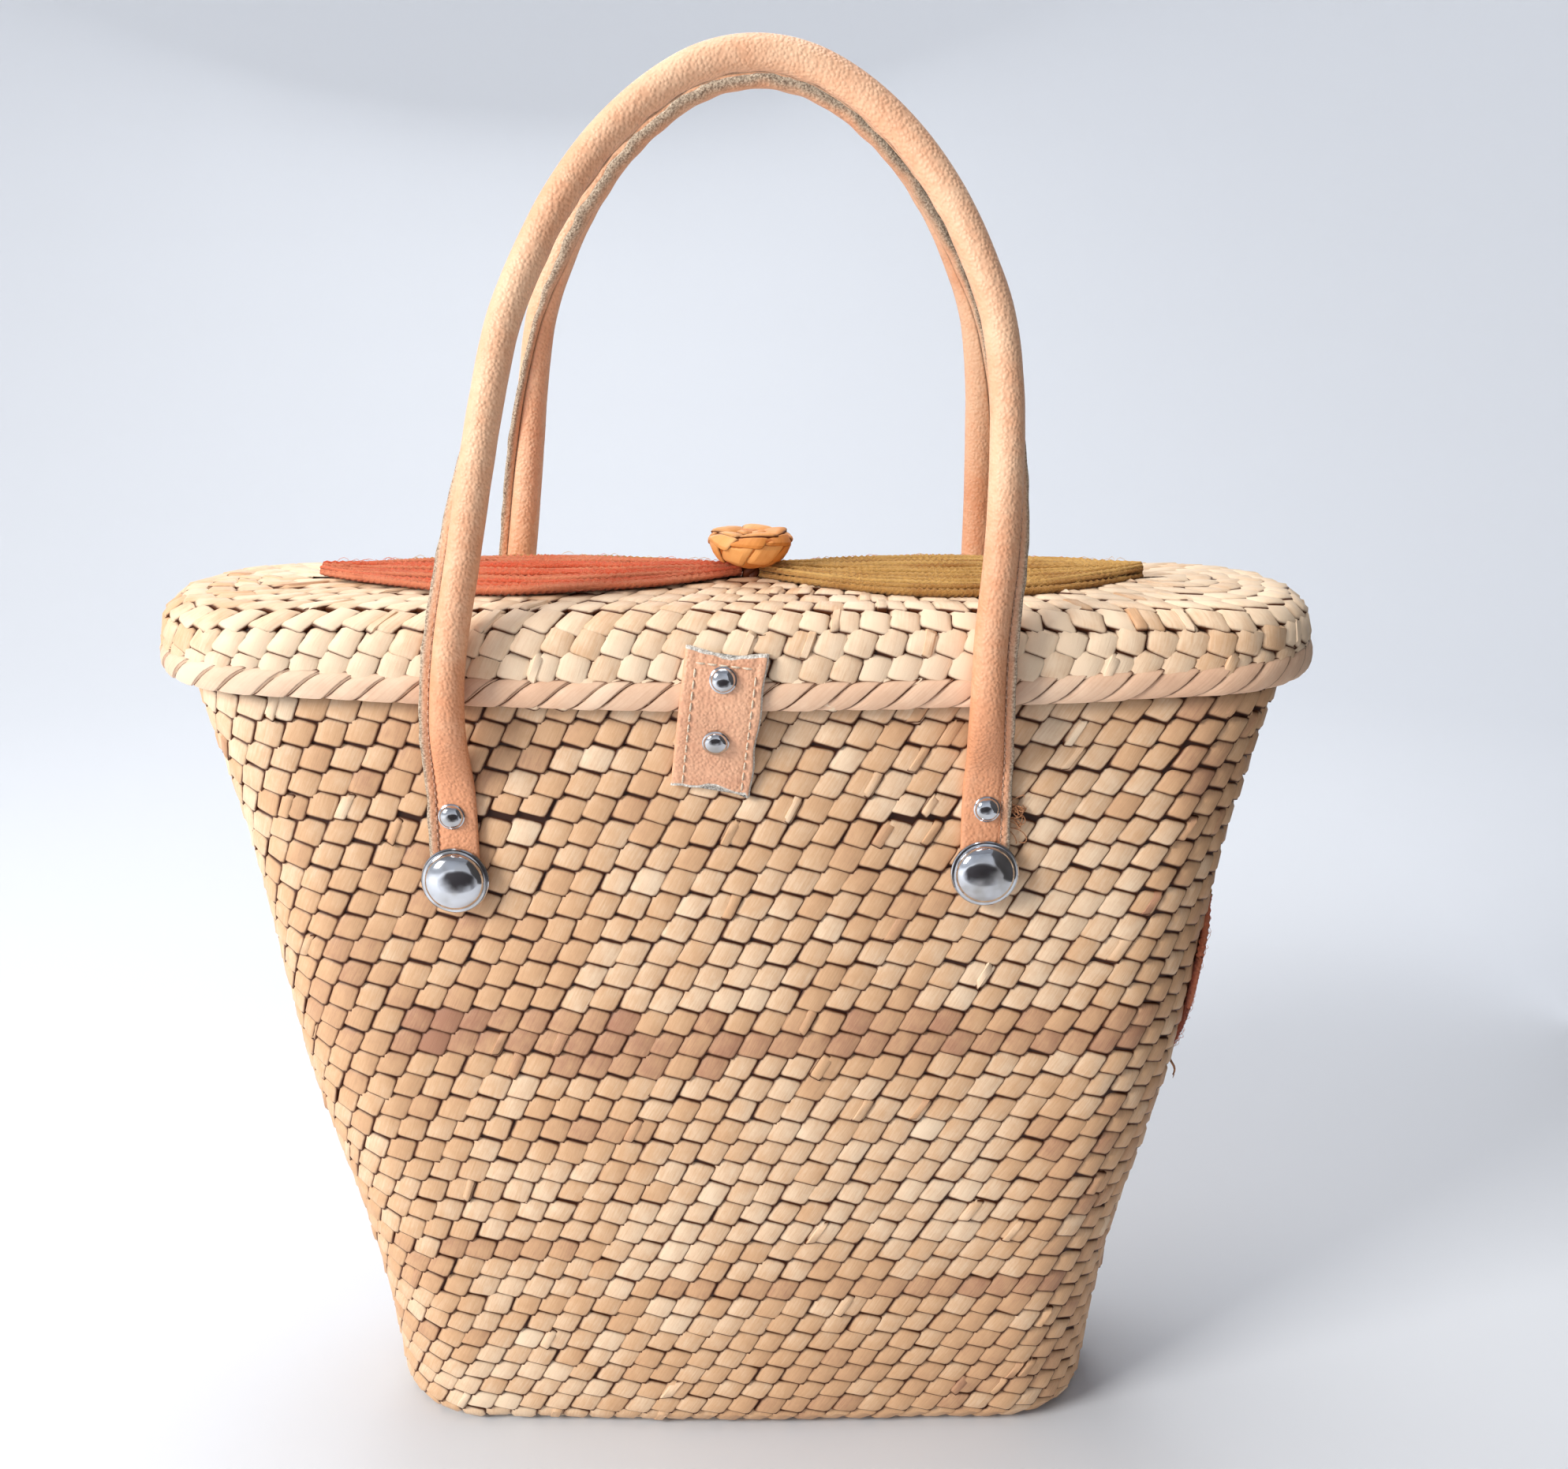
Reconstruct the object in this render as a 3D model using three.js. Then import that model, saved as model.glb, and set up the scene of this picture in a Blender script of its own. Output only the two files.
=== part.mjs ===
// Straw basket bag with a lid: plaited palm body and lid, a wrapped lid rim, two rolled
// leather handles held by rivets and domed studs, a riveted leather tab, a plaited button
// on the lid and yarn embroidery. Millimetres, +Z up, front towards -Y, origin at the
// centre of the base.
import * as THREE from "three";

// Clearances and walls
const fitGap = 0.3;
const yarnStandoff = 0.5;
const strawWall = 2.5;

// Lid, a cap that goes over the mouth
const lidWidth = 417;
const lidDepth = 105;
const lidCorner = 40;
const lidRidgeCorner = 0.8; // share of the half depth
const lidShoulderHeight = 318;
const lidShoulderRadius = 13;
const lidRidge = 2;
const lidCrown = 2;
const lidOverMouth = 4;
const lidOverEnd = 9;
const lidOverFront = 6;

// Basket body
const mouthWidth = lidWidth - 2 * lidOverEnd;
const mouthDepth = lidDepth - 2 * lidOverFront;
const wallHeight = 300;
const baseEdgeRadius = 11;
const frontBow = 2.5;
const endBow = 3;
const bodyRings = [
  // level is a share of wallHeight, width and depth of the mouth's, corner of the half depth
  { level: 0.037, width: 0.716, depth: 1.02, corner: 0.62 },
  { level: 0.15, width: 0.735, depth: 1.07, corner: 0.62 },
  { level: 0.265, width: 0.766, depth: 1.1, corner: 0.64 },
  { level: 0.375, width: 0.808, depth: 1.11, corner: 0.66 },
  { level: 0.485, width: 0.85, depth: 1.11, corner: 0.68 },
  { level: 0.595, width: 0.879, depth: 1.09, corner: 0.7 },
  { level: 0.7, width: 0.902, depth: 1.06, corner: 0.72 },
  { level: 0.8, width: 0.927, depth: 1.04, corner: 0.74 },
  { level: 0.9, width: 0.961, depth: 1.02, corner: 0.77 },
  { level: 1, width: 1, depth: 1, corner: 0.8 },
];

// Wrapped rim along the lid's lower edge, which hangs lower in the middle
const rimThickness = 5.5;
const rimHeight = 10.5;
const rimOutset = 1.5;
const rimDrop = 21.2;
const rimLowest = lidShoulderHeight - rimDrop;
const rimEndRise = 8;
const rimSides = 8;
const rimFlatness = 0.7; // exponent, less than 1 flattens the inner and outer side

// Handles, each a rolled tube with a stitched flange, flattened to a strap at its ends
const handleApex = 507;
const handleSpread = 186;
const handleLean = 8;
const studLeans = { front: -0.03, back: 0.008 }; // shares of handleSpread
const backHandleWider = 1.02;
const flangeTurnFrom = 0.12;
const flangeTurnTo = 0.42;
const tubeRadius = 5.7;
const strapWidth = 17.2;
const strapThickness = 3.6;
const rollLength = 45;
const lidReachLength = 30;
const flangeReach = 3.4;
const flangeApexReach = 1;
const flangeThickness = 2.2;
const flangeRootTurn = 0.42;
const rollPoints = 9;
const handleApexInset = 26;
const strapBelowStud = 8;
const handleSteps = 56;
const handleRoute = [
  // rise is a share of the way from stud to apex, spread of the half spread, lean of handleLean,
  // inward of the way from the lid's rim to the place of the apex
  { rise: 0.215, spread: 0.98, lean: 0, inward: 0 },
  { rise: 0.31, spread: 0.965, lean: 0.1, inward: 0 },
  { rise: 0.42, spread: 0.946, lean: 0.4, inward: 0.02 },
  { rise: 0.52, spread: 0.925, lean: 0.62, inward: 0.1 },
  { rise: 0.61, spread: 0.9, lean: 0.78, inward: 0.25 },
  { rise: 0.7, spread: 0.853, lean: 0.88, inward: 0.42 },
  { rise: 0.775, spread: 0.768, lean: 0.93, inward: 0.58 },
  { rise: 0.84, spread: 0.668, lean: 0.96, inward: 0.72 },
  { rise: 0.905, spread: 0.525, lean: 0.98, inward: 0.85 },
  { rise: 0.958, spread: 0.35, lean: 1, inward: 0.94 },
  { rise: 0.99, spread: 0.175, lean: 1, inward: 0.985 },
];

// Domed studs at the strap ends, and the small rivets
const studHeights = { left: 0.7827, right: 0.792 }; // shares of wallHeight
const stud = { radius: 12, rise: 6.2, rim: 1.6, rings: 5, sides: 18 };
const rivet = { radius: 4.7, rise: 3, rim: 0.7, rings: 3, sides: 12 };
const rivetAboveStud = 23.5;

// Leather tab that hinges the lid
const tabWidth = 27.4;
const tabThickness = 2.4;
const tabTop = 318.3;
const tabBottom = 268;
const tabTopCentre = -2.2;
const tabSlant = 6.4;
const tabLift = 1.6;
const tabRivetHeights = [309, 286.4];

// Plaited button and its stem
const buttonRadius = 16.4;
const buttonHeight = 13.5;
const buttonCentre = 5;
const stemRadius = 2.6;
const stemHeight = 3.4;

// Yarn petals on the lid and on the right end
const yarnThickness = 2.6;
const outlineWidth = 5;
const petalHalfWidth = 33;
const petals = {
  // shares of lidWidth
  left: { from: -0.3645, to: -0.0216 },
  right: { from: 0.0336, to: 0.3549 },
};
const petalRoundness = 0.8; // exponent
const petalTip = 0.03; // share of a petal's length left off at each tip
const yarnEdge = 0.45; // share of yarnThickness at a pad's edge
const endPetalBottom = 0.477 * wallHeight;
const endPetalTop = 0.703 * wallHeight;
const endPetalCentre = -6;
const endPetalHalfWidth = 19;
const endPetalFullest = 0.62;

const straw = { color: 0xdcbb8c, roughness: 0.75, metalness: 0 };
const strawWrap = { color: 0xe0c292, roughness: 0.75, metalness: 0 };
const leather = { color: 0xd8a982, roughness: 0.6, metalness: 0 };
const chrome = { color: 0xc9ccd0, roughness: 0.15, metalness: 1 };
const amberPalm = { color: 0xc98f45, roughness: 0.6, metalness: 0 };
const orangeYarn = { color: 0xe8502d, roughness: 0.95, metalness: 0 };
const mustardYarn = { color: 0xba8a3c, roughness: 0.95, metalness: 0 };

const bag = new THREE.Group();

function addPiece(name, geometry, finish) {
  const mesh = new THREE.Mesh(geometry, new THREE.MeshStandardMaterial(finish));
  mesh.name = name;
  bag.add(mesh);
  return mesh;
}

// Smooth value between table rows: Hermite steps with averaged slopes
function between(rows, key, column, at) {
  const last = rows.length - 1;
  let i = 0;
  while (i < last - 1 && at > rows[i + 1][key]) i += 1;
  const slope = (j) => {
    const a = rows[Math.max(0, j - 1)];
    const b = rows[Math.min(last, j + 1)];
    return (b[column] - a[column]) / (b[key] - a[key]);
  };
  const low = rows[i];
  const high = rows[i + 1];
  const span = high[key] - low[key];
  const t = THREE.MathUtils.clamp((at - low[key]) / span, 0, 1);
  const t2 = t * t;
  const t3 = t2 * t;
  return (
    low[column] * (2 * t3 - 3 * t2 + 1) +
    slope(i) * span * (t3 - 2 * t2 + t) +
    high[column] * (3 * t2 - 2 * t3) +
    slope(i + 1) * span * (t3 - t2)
  );
}

// Plan of the basket: an oblong with round corners whose sides bow outwards a little
const endSteps = 2;
const cornerSteps = 5;
const frontSteps = 5;
const arch = (share) => (1 + Math.cos(Math.PI * share)) / 2;

function plan(halfWidth, halfDepth, corner, bowFront = frontBow, bowEnd = endBow) {
  const radius = Math.min(corner, halfDepth - bowFront);
  return {
    radius,
    bowFront,
    bowEnd,
    straightX: halfWidth - bowEnd - radius,
    straightY: halfDepth - bowFront - radius,
  };
}

function frontOf(p, x) {
  const over = Math.abs(x) - p.straightX;
  if (over > 0) return p.straightY + Math.sqrt(Math.max(0, p.radius ** 2 - over ** 2));
  return p.straightY + p.radius + p.bowFront * arch(x / p.straightX);
}

function endOf(p, y) {
  const over = Math.abs(y) - p.straightY;
  if (over > 0) return p.straightX + Math.sqrt(Math.max(0, p.radius ** 2 - over ** 2));
  return p.straightX + p.radius + p.bowEnd * arch(p.straightY ? y / p.straightY : 1);
}

// Points of one quarter, from the middle of the end to the middle of the long side
function quarter(p) {
  const points = [];
  for (let i = 0; i < endSteps; i += 1) {
    const y = (p.straightY * i) / endSteps;
    points.push([endOf(p, y), y]);
  }
  for (let i = 0; i < cornerSteps; i += 1) {
    const turn = (Math.PI / 2) * (i / cornerSteps);
    points.push([
      p.straightX + p.radius * Math.cos(turn),
      p.straightY + p.radius * Math.sin(turn),
    ]);
  }
  for (let i = 0; i <= frontSteps; i += 1) {
    const x = p.straightX * (1 - i / frontSteps);
    points.push([x, frontOf(p, x)]);
  }
  return points;
}

// Whole ring, anticlockwise from above, from the middle of the right end
function ring(p, heightAt) {
  const q = quarter(p);
  const n = q.length - 1;
  const flat = [
    ...q.slice(0, n),
    ...q.slice(1).reverse().map(([x, y]) => [-x, y]),
    ...q.slice(0, n).map(([x, y]) => [-x, -y]),
    ...q.slice(1).reverse().map(([x, y]) => [x, -y]),
  ];
  return flat.map(([x, y]) => new THREE.Vector3(x, y, heightAt(x, y)));
}

// Solid through rings of equally many points. The ends are closed by strips across each
// ring, or the last ring is joined to the first
function loft(rings, { closed = false, flip = false } = {}) {
  const count = rings[0].length;
  const positions = [];
  const put = (a, b, c) => {
    for (const v of flip ? [a, c, b] : [a, b, c]) positions.push(v.x, v.y, v.z);
  };
  const spans = closed ? rings.length : rings.length - 1;
  for (let i = 0; i < spans; i += 1) {
    const low = rings[i];
    const high = rings[(i + 1) % rings.length];
    for (let k = 0; k < count; k += 1) {
      const next = (k + 1) % count;
      put(low[k], low[next], high[next]);
      put(low[k], high[next], high[k]);
    }
  }
  const cover = (points, face) => {
    for (let k = 0; k < Math.floor(count / 2); k += 1) {
      const [near, nearNext] = [points[k], points[k + 1]];
      const [far, farNext] = [points[(count - k) % count], points[count - k - 1]];
      if (nearNext !== farNext) face(near, nearNext, farNext);
      if (near !== far) face(near, farNext, far);
    }
  };
  if (!closed) {
    cover(rings[0], (a, b, c) => put(c, b, a));
    cover(rings[rings.length - 1], put);
  }
  const geometry = new THREE.BufferGeometry();
  geometry.setAttribute("position", new THREE.Float32BufferAttribute(positions, 3));
  geometry.computeVertexNormals();
  return geometry;
}

// Lid: wall, round shoulder and a shallow crown
const lidHalf = { width: lidWidth / 2, depth: lidDepth / 2 };
const lidPlan = (inset) => {
  const depth = lidHalf.depth - inset;
  const bowShare = Math.max(0, depth) / lidHalf.depth;
  const corner = Math.max(lidCorner - inset, lidRidgeCorner * depth);
  return plan(lidHalf.width - inset, depth, corner, frontBow * bowShare, endBow * bowShare);
};
const rimBottomAt = (x) => rimLowest + rimEndRise * (x / lidHalf.width) ** 2;
const lidWallBottomAt = (x) => rimBottomAt(x) + rimHeight + fitGap;
const lidRidgeInset = lidHalf.depth - lidRidge;
const lidTopAt = (inset, wall = 0) => {
  const radius = lidShoulderRadius - wall;
  const reach = inset - wall;
  if (reach < radius) return lidShoulderHeight + Math.sqrt(radius ** 2 - (radius - reach) ** 2);
  const share = (reach - radius) / (lidRidgeInset - lidShoulderRadius);
  return lidShoulderHeight + radius + lidCrown * (1 - (1 - share) ** 2);
};
const lidSurfaceAt = (x, y) => lidTopAt(frontOf(lidPlan(0), x) - Math.abs(y));
const shoulderTurns = [1, 2, 3, 4, 5].map((i) => (Math.PI / 2) * (i / 5));
const crownShares = [0.3, 0.65, 1];

function lidSide(wall) {
  const rings = [
    ring(lidPlan(wall), lidWallBottomAt),
    ring(lidPlan(wall), () => lidShoulderHeight),
  ];
  const radius = lidShoulderRadius - wall;
  for (const turn of shoulderTurns) {
    const inset = wall + radius * (1 - Math.cos(turn));
    rings.push(ring(lidPlan(inset), () => lidShoulderHeight + radius * Math.sin(turn)));
  }
  for (const share of crownShares) {
    const inset = wall + radius + share * (lidRidgeInset - lidShoulderRadius - wall);
    rings.push(ring(lidPlan(inset), () => lidTopAt(inset, wall)));
  }
  return rings;
}

const lid = loft([...lidSide(strawWall).reverse(), ...lidSide(0)]);
addPiece("lid", lid, straw);

// Wrapped rim: a flattened roll that follows the lid's lower edge
const rimPlan = (inset) => lidPlan(inset - rimOutset);
const rimTurns = [...Array(rimSides).keys()].map((i) => (i / rimSides) * 2 * Math.PI);
const rimRings = rimTurns.map((turn) => {
  const inwards = Math.cos(turn);
  const inset = (rimThickness / 2) * (1 + Math.sign(inwards) * Math.abs(inwards) ** rimFlatness);
  const rise = (rimHeight / 2) * (1 + Math.sin(turn));
  return ring(rimPlan(inset), (x) => rimBottomAt(x) + rise);
});
addPiece("lid_rim_binding", loft(rimRings, { closed: true, flip: true }), strawWrap);

// Basket body: a tapered shell whose mouth stands inside the lid, just under its shoulder
const mouthPlan = lidPlan(strawWall + lidOverMouth);
const mouthHeight = lidTopAt(strawWall + lidOverMouth, strawWall) - fitGap;
const bodyPlanAt = (z, inset = 0) => {
  const level = z / wallHeight;
  const depth = (between(bodyRings, "level", "depth", level) * mouthDepth) / 2;
  const width = (between(bodyRings, "level", "width", level) * mouthWidth) / 2;
  const corner = between(bodyRings, "level", "corner", level) * depth;
  return plan(width - inset, depth - inset, corner - inset);
};
const insetMouth = lidPlan(2 * strawWall + lidOverMouth);
const wallLevels = bodyRings.map((row) => row.level * wallHeight);
const baseTurns = [0, 1, 2].map((i) => (Math.PI / 2) * (i / 3));

function bodySide(wall) {
  const radius = baseEdgeRadius - wall;
  const foot = baseTurns.map((turn) => {
    const inset = wall + radius * (1 - Math.sin(turn));
    return ring(bodyPlanAt(baseEdgeRadius, inset), () => wall + radius * (1 - Math.cos(turn)));
  });
  return [...foot, ...wallLevels.map((z) => ring(bodyPlanAt(z, wall), () => z))];
}

const body = loft([
  ...bodySide(0),
  ring(mouthPlan, () => mouthHeight),
  ring(insetMouth, () => mouthHeight),
  ...bodySide(strawWall).reverse(),
]);
addPiece("basket_body", body, straw);

const bodyFrontAt = (x, z) => frontOf(bodyPlanAt(z), x);

// A ring of the handle: a round or flattened roll with the stitched flange on one side
function handleSection(centre, outward, away, size) {
  const radiusAt = (angle) =>
    1 / Math.hypot(Math.cos(angle) / size.wide, Math.sin(angle) / size.thick);
  const at = (along, side) =>
    centre.clone().addScaledVector(outward, along).addScaledVector(away, side);
  const polar = (angle, reach) => [reach * Math.cos(angle), reach * Math.sin(angle)];
  const points = [];
  const half = flangeThickness / 2;
  const root = radiusAt(size.turn);
  const nx = Math.cos(size.turn);
  const ny = Math.sin(size.turn);
  const tip = root + size.flange;
  points.push(at(tip * nx - half * ny, tip * ny + half * nx));
  for (let i = 0; i < rollPoints; i += 1) {
    const share = i / (rollPoints - 1);
    const angle = size.turn + flangeRootTurn + 2 * (Math.PI - flangeRootTurn) * share;
    points.push(at(...polar(angle, radiusAt(angle))));
  }
  points.push(at(tip * nx + half * ny, tip * ny - half * nx));
  return points;
}

// Handle: from the left stud over the apex to the right stud, worked out as if on the back
const easeIn = (value, from, to) => THREE.MathUtils.smoothstep(value, from, to);
const strapToRivet = strapBelowStud + rivetAboveStud;
const rollFrom = strapToRivet + 2 * rivet.radius;
const rollTo = rollFrom + rollLength;
const rolledAt = (distance) => easeIn(distance, rollFrom, rollTo);
const halfThicknessAt = (distance) =>
  THREE.MathUtils.lerp(strapThickness / 2, tubeRadius, rolledAt(distance));

function handleCurve(face) {
  const halfSpread = (handleSpread / 2) * (face === "back" ? backHandleWider : 1);
  const studLean = studLeans[face] * handleSpread;
  const lidFront = frontOf(rimPlan(0), halfSpread) + fitGap + tubeRadius;
  const leg = (sign, studHeight) => {
    const foot = studHeight - strapBelowStud;
    const strapStops = [0, strapBelowStud, strapToRivet, rollFrom, rollFrom + strapWidth / 3];
    const points = strapStops.map((rise) => {
      const z = foot + rise;
      const x = sign * halfSpread + studLean;
      const seat = bodyFrontAt(x, z) + fitGap + halfThicknessAt(rise);
      const bridge = easeIn(rise, rollFrom, rollFrom + lidReachLength);
      return new THREE.Vector3(x, THREE.MathUtils.lerp(seat, lidFront, bridge), z);
    });
    for (const row of handleRoute) {
      points.push(
        new THREE.Vector3(
          sign * row.spread * halfSpread + THREE.MathUtils.lerp(studLean, handleLean, row.lean),
          THREE.MathUtils.lerp(lidFront, handleApexInset, row.inward),
          studHeight + row.rise * (handleApex - studHeight),
        ),
      );
    }
    return points;
  };
  const left = leg(-1, studHeights.left * wallHeight);
  const right = leg(1, studHeights.right * wallHeight).reverse();
  const top = new THREE.Vector3(handleLean, handleApexInset, handleApex);
  return new THREE.CatmullRomCurve3([...left, top, ...right], false, "centripetal");
}

// Place on the handle: its centre, and the ways out of the arch and away from the bag
function handleFrameAt(curve, share) {
  const centre = curve.getPointAt(share);
  const tangent = curve.getTangentAt(share);
  const outward = new THREE.Vector3().crossVectors(tangent, new THREE.Vector3(0, 1, 0)).normalize();
  const away = new THREE.Vector3().crossVectors(outward, tangent).normalize();
  return { centre, outward, away };
}

function handleRings(curve, side) {
  const length = curve.getLength();
  const rings = [];
  for (let i = 0; i <= handleSteps; i += 1) {
    const share = i / handleSteps;
    const { centre, outward, away } = handleFrameAt(curve, share);
    const fromEnd = Math.min(share, 1 - share);
    const rolled = rolledAt(fromEnd * length);
    const turned = easeIn(fromEnd, flangeTurnFrom, flangeTurnTo);
    rings.push(
      handleSection(centre, outward, away, {
        wide: THREE.MathUtils.lerp(strapWidth / 2, tubeRadius, rolled),
        thick: halfThicknessAt(fromEnd * length),
        flange: THREE.MathUtils.lerp(flangeReach, flangeApexReach, turned) * rolled,
        turn: -Math.PI * turned,
      }),
    );
  }
  return rings.map((points) => points.map((v) => new THREE.Vector3(v.x, side * v.y, v.z)));
}

// Domed fastener: a flat rim round a dome, standing on the strap
function dome({ radius, rise, rim, rings, sides }) {
  const profile = [[0, 0], [radius, 0], [radius, rim]];
  for (let i = 0; i < rings; i += 1) {
    const turn = (Math.PI / 2) * (i / rings);
    profile.push([(radius - rim) * Math.cos(turn), rim + (rise - rim) * Math.sin(turn)]);
  }
  profile.push([0, rise]);
  return new THREE.LatheGeometry(profile.map(([x, y]) => new THREE.Vector2(x, y)), sides);
}

const turningAxis = new THREE.Vector3(0, 1, 0);
const fasteners = {
  stud: { sizes: stud, distance: strapBelowStud },
  rivet: { sizes: rivet, distance: strapToRivet },
};
for (const [face, side] of [["front", -1], ["back", 1]]) {
  const curve = handleCurve(face);
  addPiece(`handle_${face}`, loft(handleRings(curve, side), { flip: side > 0 }), leather);
  for (const hand of ["left", "right"]) {
    for (const [kind, { sizes, distance }] of Object.entries(fasteners)) {
      const share = distance / curve.getLength();
      const { centre, away } = handleFrameAt(curve, hand === "left" ? share : 1 - share);
      centre.addScaledVector(away, halfThicknessAt(distance) + fitGap);
      const mesh = addPiece(`${kind}_${face}_${hand}`, dome(sizes), chrome);
      mesh.position.set(centre.x, side * centre.y, centre.z);
      const standing = new THREE.Vector3(away.x, side * away.y, away.z);
      mesh.quaternion.setFromUnitVectors(turningAxis, standing);
    }
  }
}

// Leather tab: over the lid's wall and rim and down onto the body
const tabCentreAt = (z) => tabTopCentre - (tabSlant * (tabTop - z)) / (tabTop - tabBottom);
const tabSeat = (depth) => depth + fitGap + tabThickness / 2;
const tabBend = tabRivetHeights[1] - 2 * rivet.radius;
const tabRoute = [
  { z: tabTop, y: tabSeat(lidHalf.depth) },
  { z: rimBottomAt(0) + rimHeight, y: tabSeat(lidHalf.depth + rimOutset) },
  { z: rimBottomAt(0), y: tabSeat(lidHalf.depth + rimOutset) },
  { z: tabBend, y: tabSeat(bodyFrontAt(0, tabBend) + tabLift) },
  { z: tabBottom, y: tabSeat(bodyFrontAt(0, tabBottom)) },
];
const tabCorners = [[1, 1], [1, -1], [-1, -1], [-1, 1]].map(([a, b]) => [
  (a * tabWidth) / 2,
  (b * tabThickness) / 2,
]);
const tabSections = [...tabRoute].reverse().map(({ z, y }) =>
  tabCorners.map(([across, out]) => new THREE.Vector3(tabCentreAt(z) + across, out - y, z)),
);
addPiece("lid_tab", loft(tabSections, { flip: true }), leather);
tabRivetHeights.forEach((z, i) => {
  const below = tabRoute.findIndex((stop) => stop.z <= z);
  const [high, low] = [tabRoute[below - 1], tabRoute[below]];
  const share = (high.z - z) / (high.z - low.z);
  const seat = THREE.MathUtils.lerp(high.y, low.y, share) + tabThickness / 2 + fitGap;
  const mesh = addPiece(`tab_rivet_${i ? "lower" : "upper"}`, dome(rivet), chrome);
  mesh.position.set(tabCentreAt(z), -seat, z);
  mesh.rotation.x = Math.PI + Math.atan2(high.y - low.y, high.z - low.z);
});

// Plaited button on its stem
const stemFoot = lidSurfaceAt(buttonCentre, 0) + fitGap;
const stemShape = new THREE.CylinderGeometry(stemRadius, stemRadius, stemHeight, 10);
const stem = addPiece("button_stem", stemShape, amberPalm);
stem.rotation.x = Math.PI / 2;
stem.position.set(buttonCentre, 0, stemFoot + stemHeight / 2);
const buttonProfile = [
  // radius is a share of buttonRadius, height of buttonHeight
  { radius: 0, height: 0 },
  { radius: 0.35, height: 0 },
  { radius: 0.72, height: 0.2 },
  { radius: 0.94, height: 0.48 },
  { radius: 1, height: 0.68 },
  { radius: 0.9, height: 0.86 },
  { radius: 0.62, height: 0.97 },
  { radius: 0, height: 1 },
].map(({ radius, height }) => new THREE.Vector2(radius * buttonRadius, height * buttonHeight));
const button = addPiece("plaited_button", new THREE.LatheGeometry(buttonProfile, 16), amberPalm);
button.rotation.x = Math.PI / 2;
button.position.set(buttonCentre, 0, stemFoot + stemHeight + fitGap);

// Yarn pad: a strip between two edges, laid on a surface, rounded towards both edges
const padSteps = 10;
const padShares = [0, 0.1, 0.3, 0.5, 0.7, 0.9, 1];

function yarnPad({ from, to, nearEdge, farEdge, place }) {
  const sections = [];
  for (let i = 0; i <= padSteps; i += 1) {
    const share = THREE.MathUtils.lerp(petalTip, 1 - petalTip, i / padSteps);
    const along = THREE.MathUtils.lerp(from, to, share);
    const near = nearEdge(share);
    const far = farEdge(share);
    const across = (s) => THREE.MathUtils.lerp(near, far, s);
    const thick = (s) => yarnThickness * THREE.MathUtils.lerp(yarnEdge, 1, Math.sin(Math.PI * s));
    const low = padShares.map((s) => place(along, across(s), yarnStandoff));
    const high = padShares.map((s) => place(along, across(s), yarnStandoff + thick(s)));
    sections.push([...low, ...high.reverse()]);
  }
  return sections;
}

// Half width of a petal along its length, as a share; fullest is the share where it is widest
const lens = (share, fullest = 0.5) => {
  const slid = share ** (Math.log(0.5) / Math.log(fullest));
  return Math.sin(Math.PI * slid) ** petalRoundness;
};
const onLid = (x, y, lift) => new THREE.Vector3(x, y, lidSurfaceAt(x, y) + lift);
for (const [hand, petal] of Object.entries(petals)) {
  const from = petal.from * lidWidth;
  const to = petal.to * lidWidth;
  const fill = hand === "left" ? orangeYarn : mustardYarn;
  const edge = hand === "left" ? mustardYarn : orangeYarn;
  const near = (share) => -petalHalfWidth * lens(share);
  const seam = (share) => petalHalfWidth * lens(share);
  const pad = yarnPad({ from, to, nearEdge: near, farEdge: seam, place: onLid });
  addPiece(`yarn_petal_${hand}`, loft(pad), fill);
  const band = yarnPad({
    from,
    to,
    nearEdge: (share) => seam(share) + yarnStandoff,
    farEdge: (share) => seam(share) + yarnStandoff + outlineWidth,
    place: onLid,
  });
  addPiece(`yarn_outline_${hand}`, loft(band), edge);
}

// Yarn petal on the right end, upright, with its outline on the far side
const onEnd = (z, y, lift) => {
  const p = bodyPlanAt(z);
  const round = Math.max(0, Math.abs(y) - p.straightY) / p.radius;
  const leanOut = Math.sqrt(1 - round ** 2);
  return new THREE.Vector3(endOf(p, y) + lift * leanOut, y + lift * round * Math.sign(y), z);
};
const endSpread = (share) => endPetalHalfWidth * lens(share, endPetalFullest);
const endSeam = (share) => endPetalCentre + endSpread(share);
const endPad = yarnPad({
  from: endPetalBottom,
  to: endPetalTop,
  nearEdge: (share) => endPetalCentre - endSpread(share),
  farEdge: endSeam,
  place: onEnd,
});
addPiece("yarn_petal_end", loft(endPad, { flip: true }), orangeYarn);
const endBand = yarnPad({
  from: endPetalBottom,
  to: endPetalTop,
  nearEdge: (share) => endSeam(share) + yarnStandoff,
  farEdge: (share) => endSeam(share) + yarnStandoff + outlineWidth,
  place: onEnd,
});
addPiece("yarn_outline_end", loft(endBand, { flip: true }), mustardYarn);

export default bag;
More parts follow.
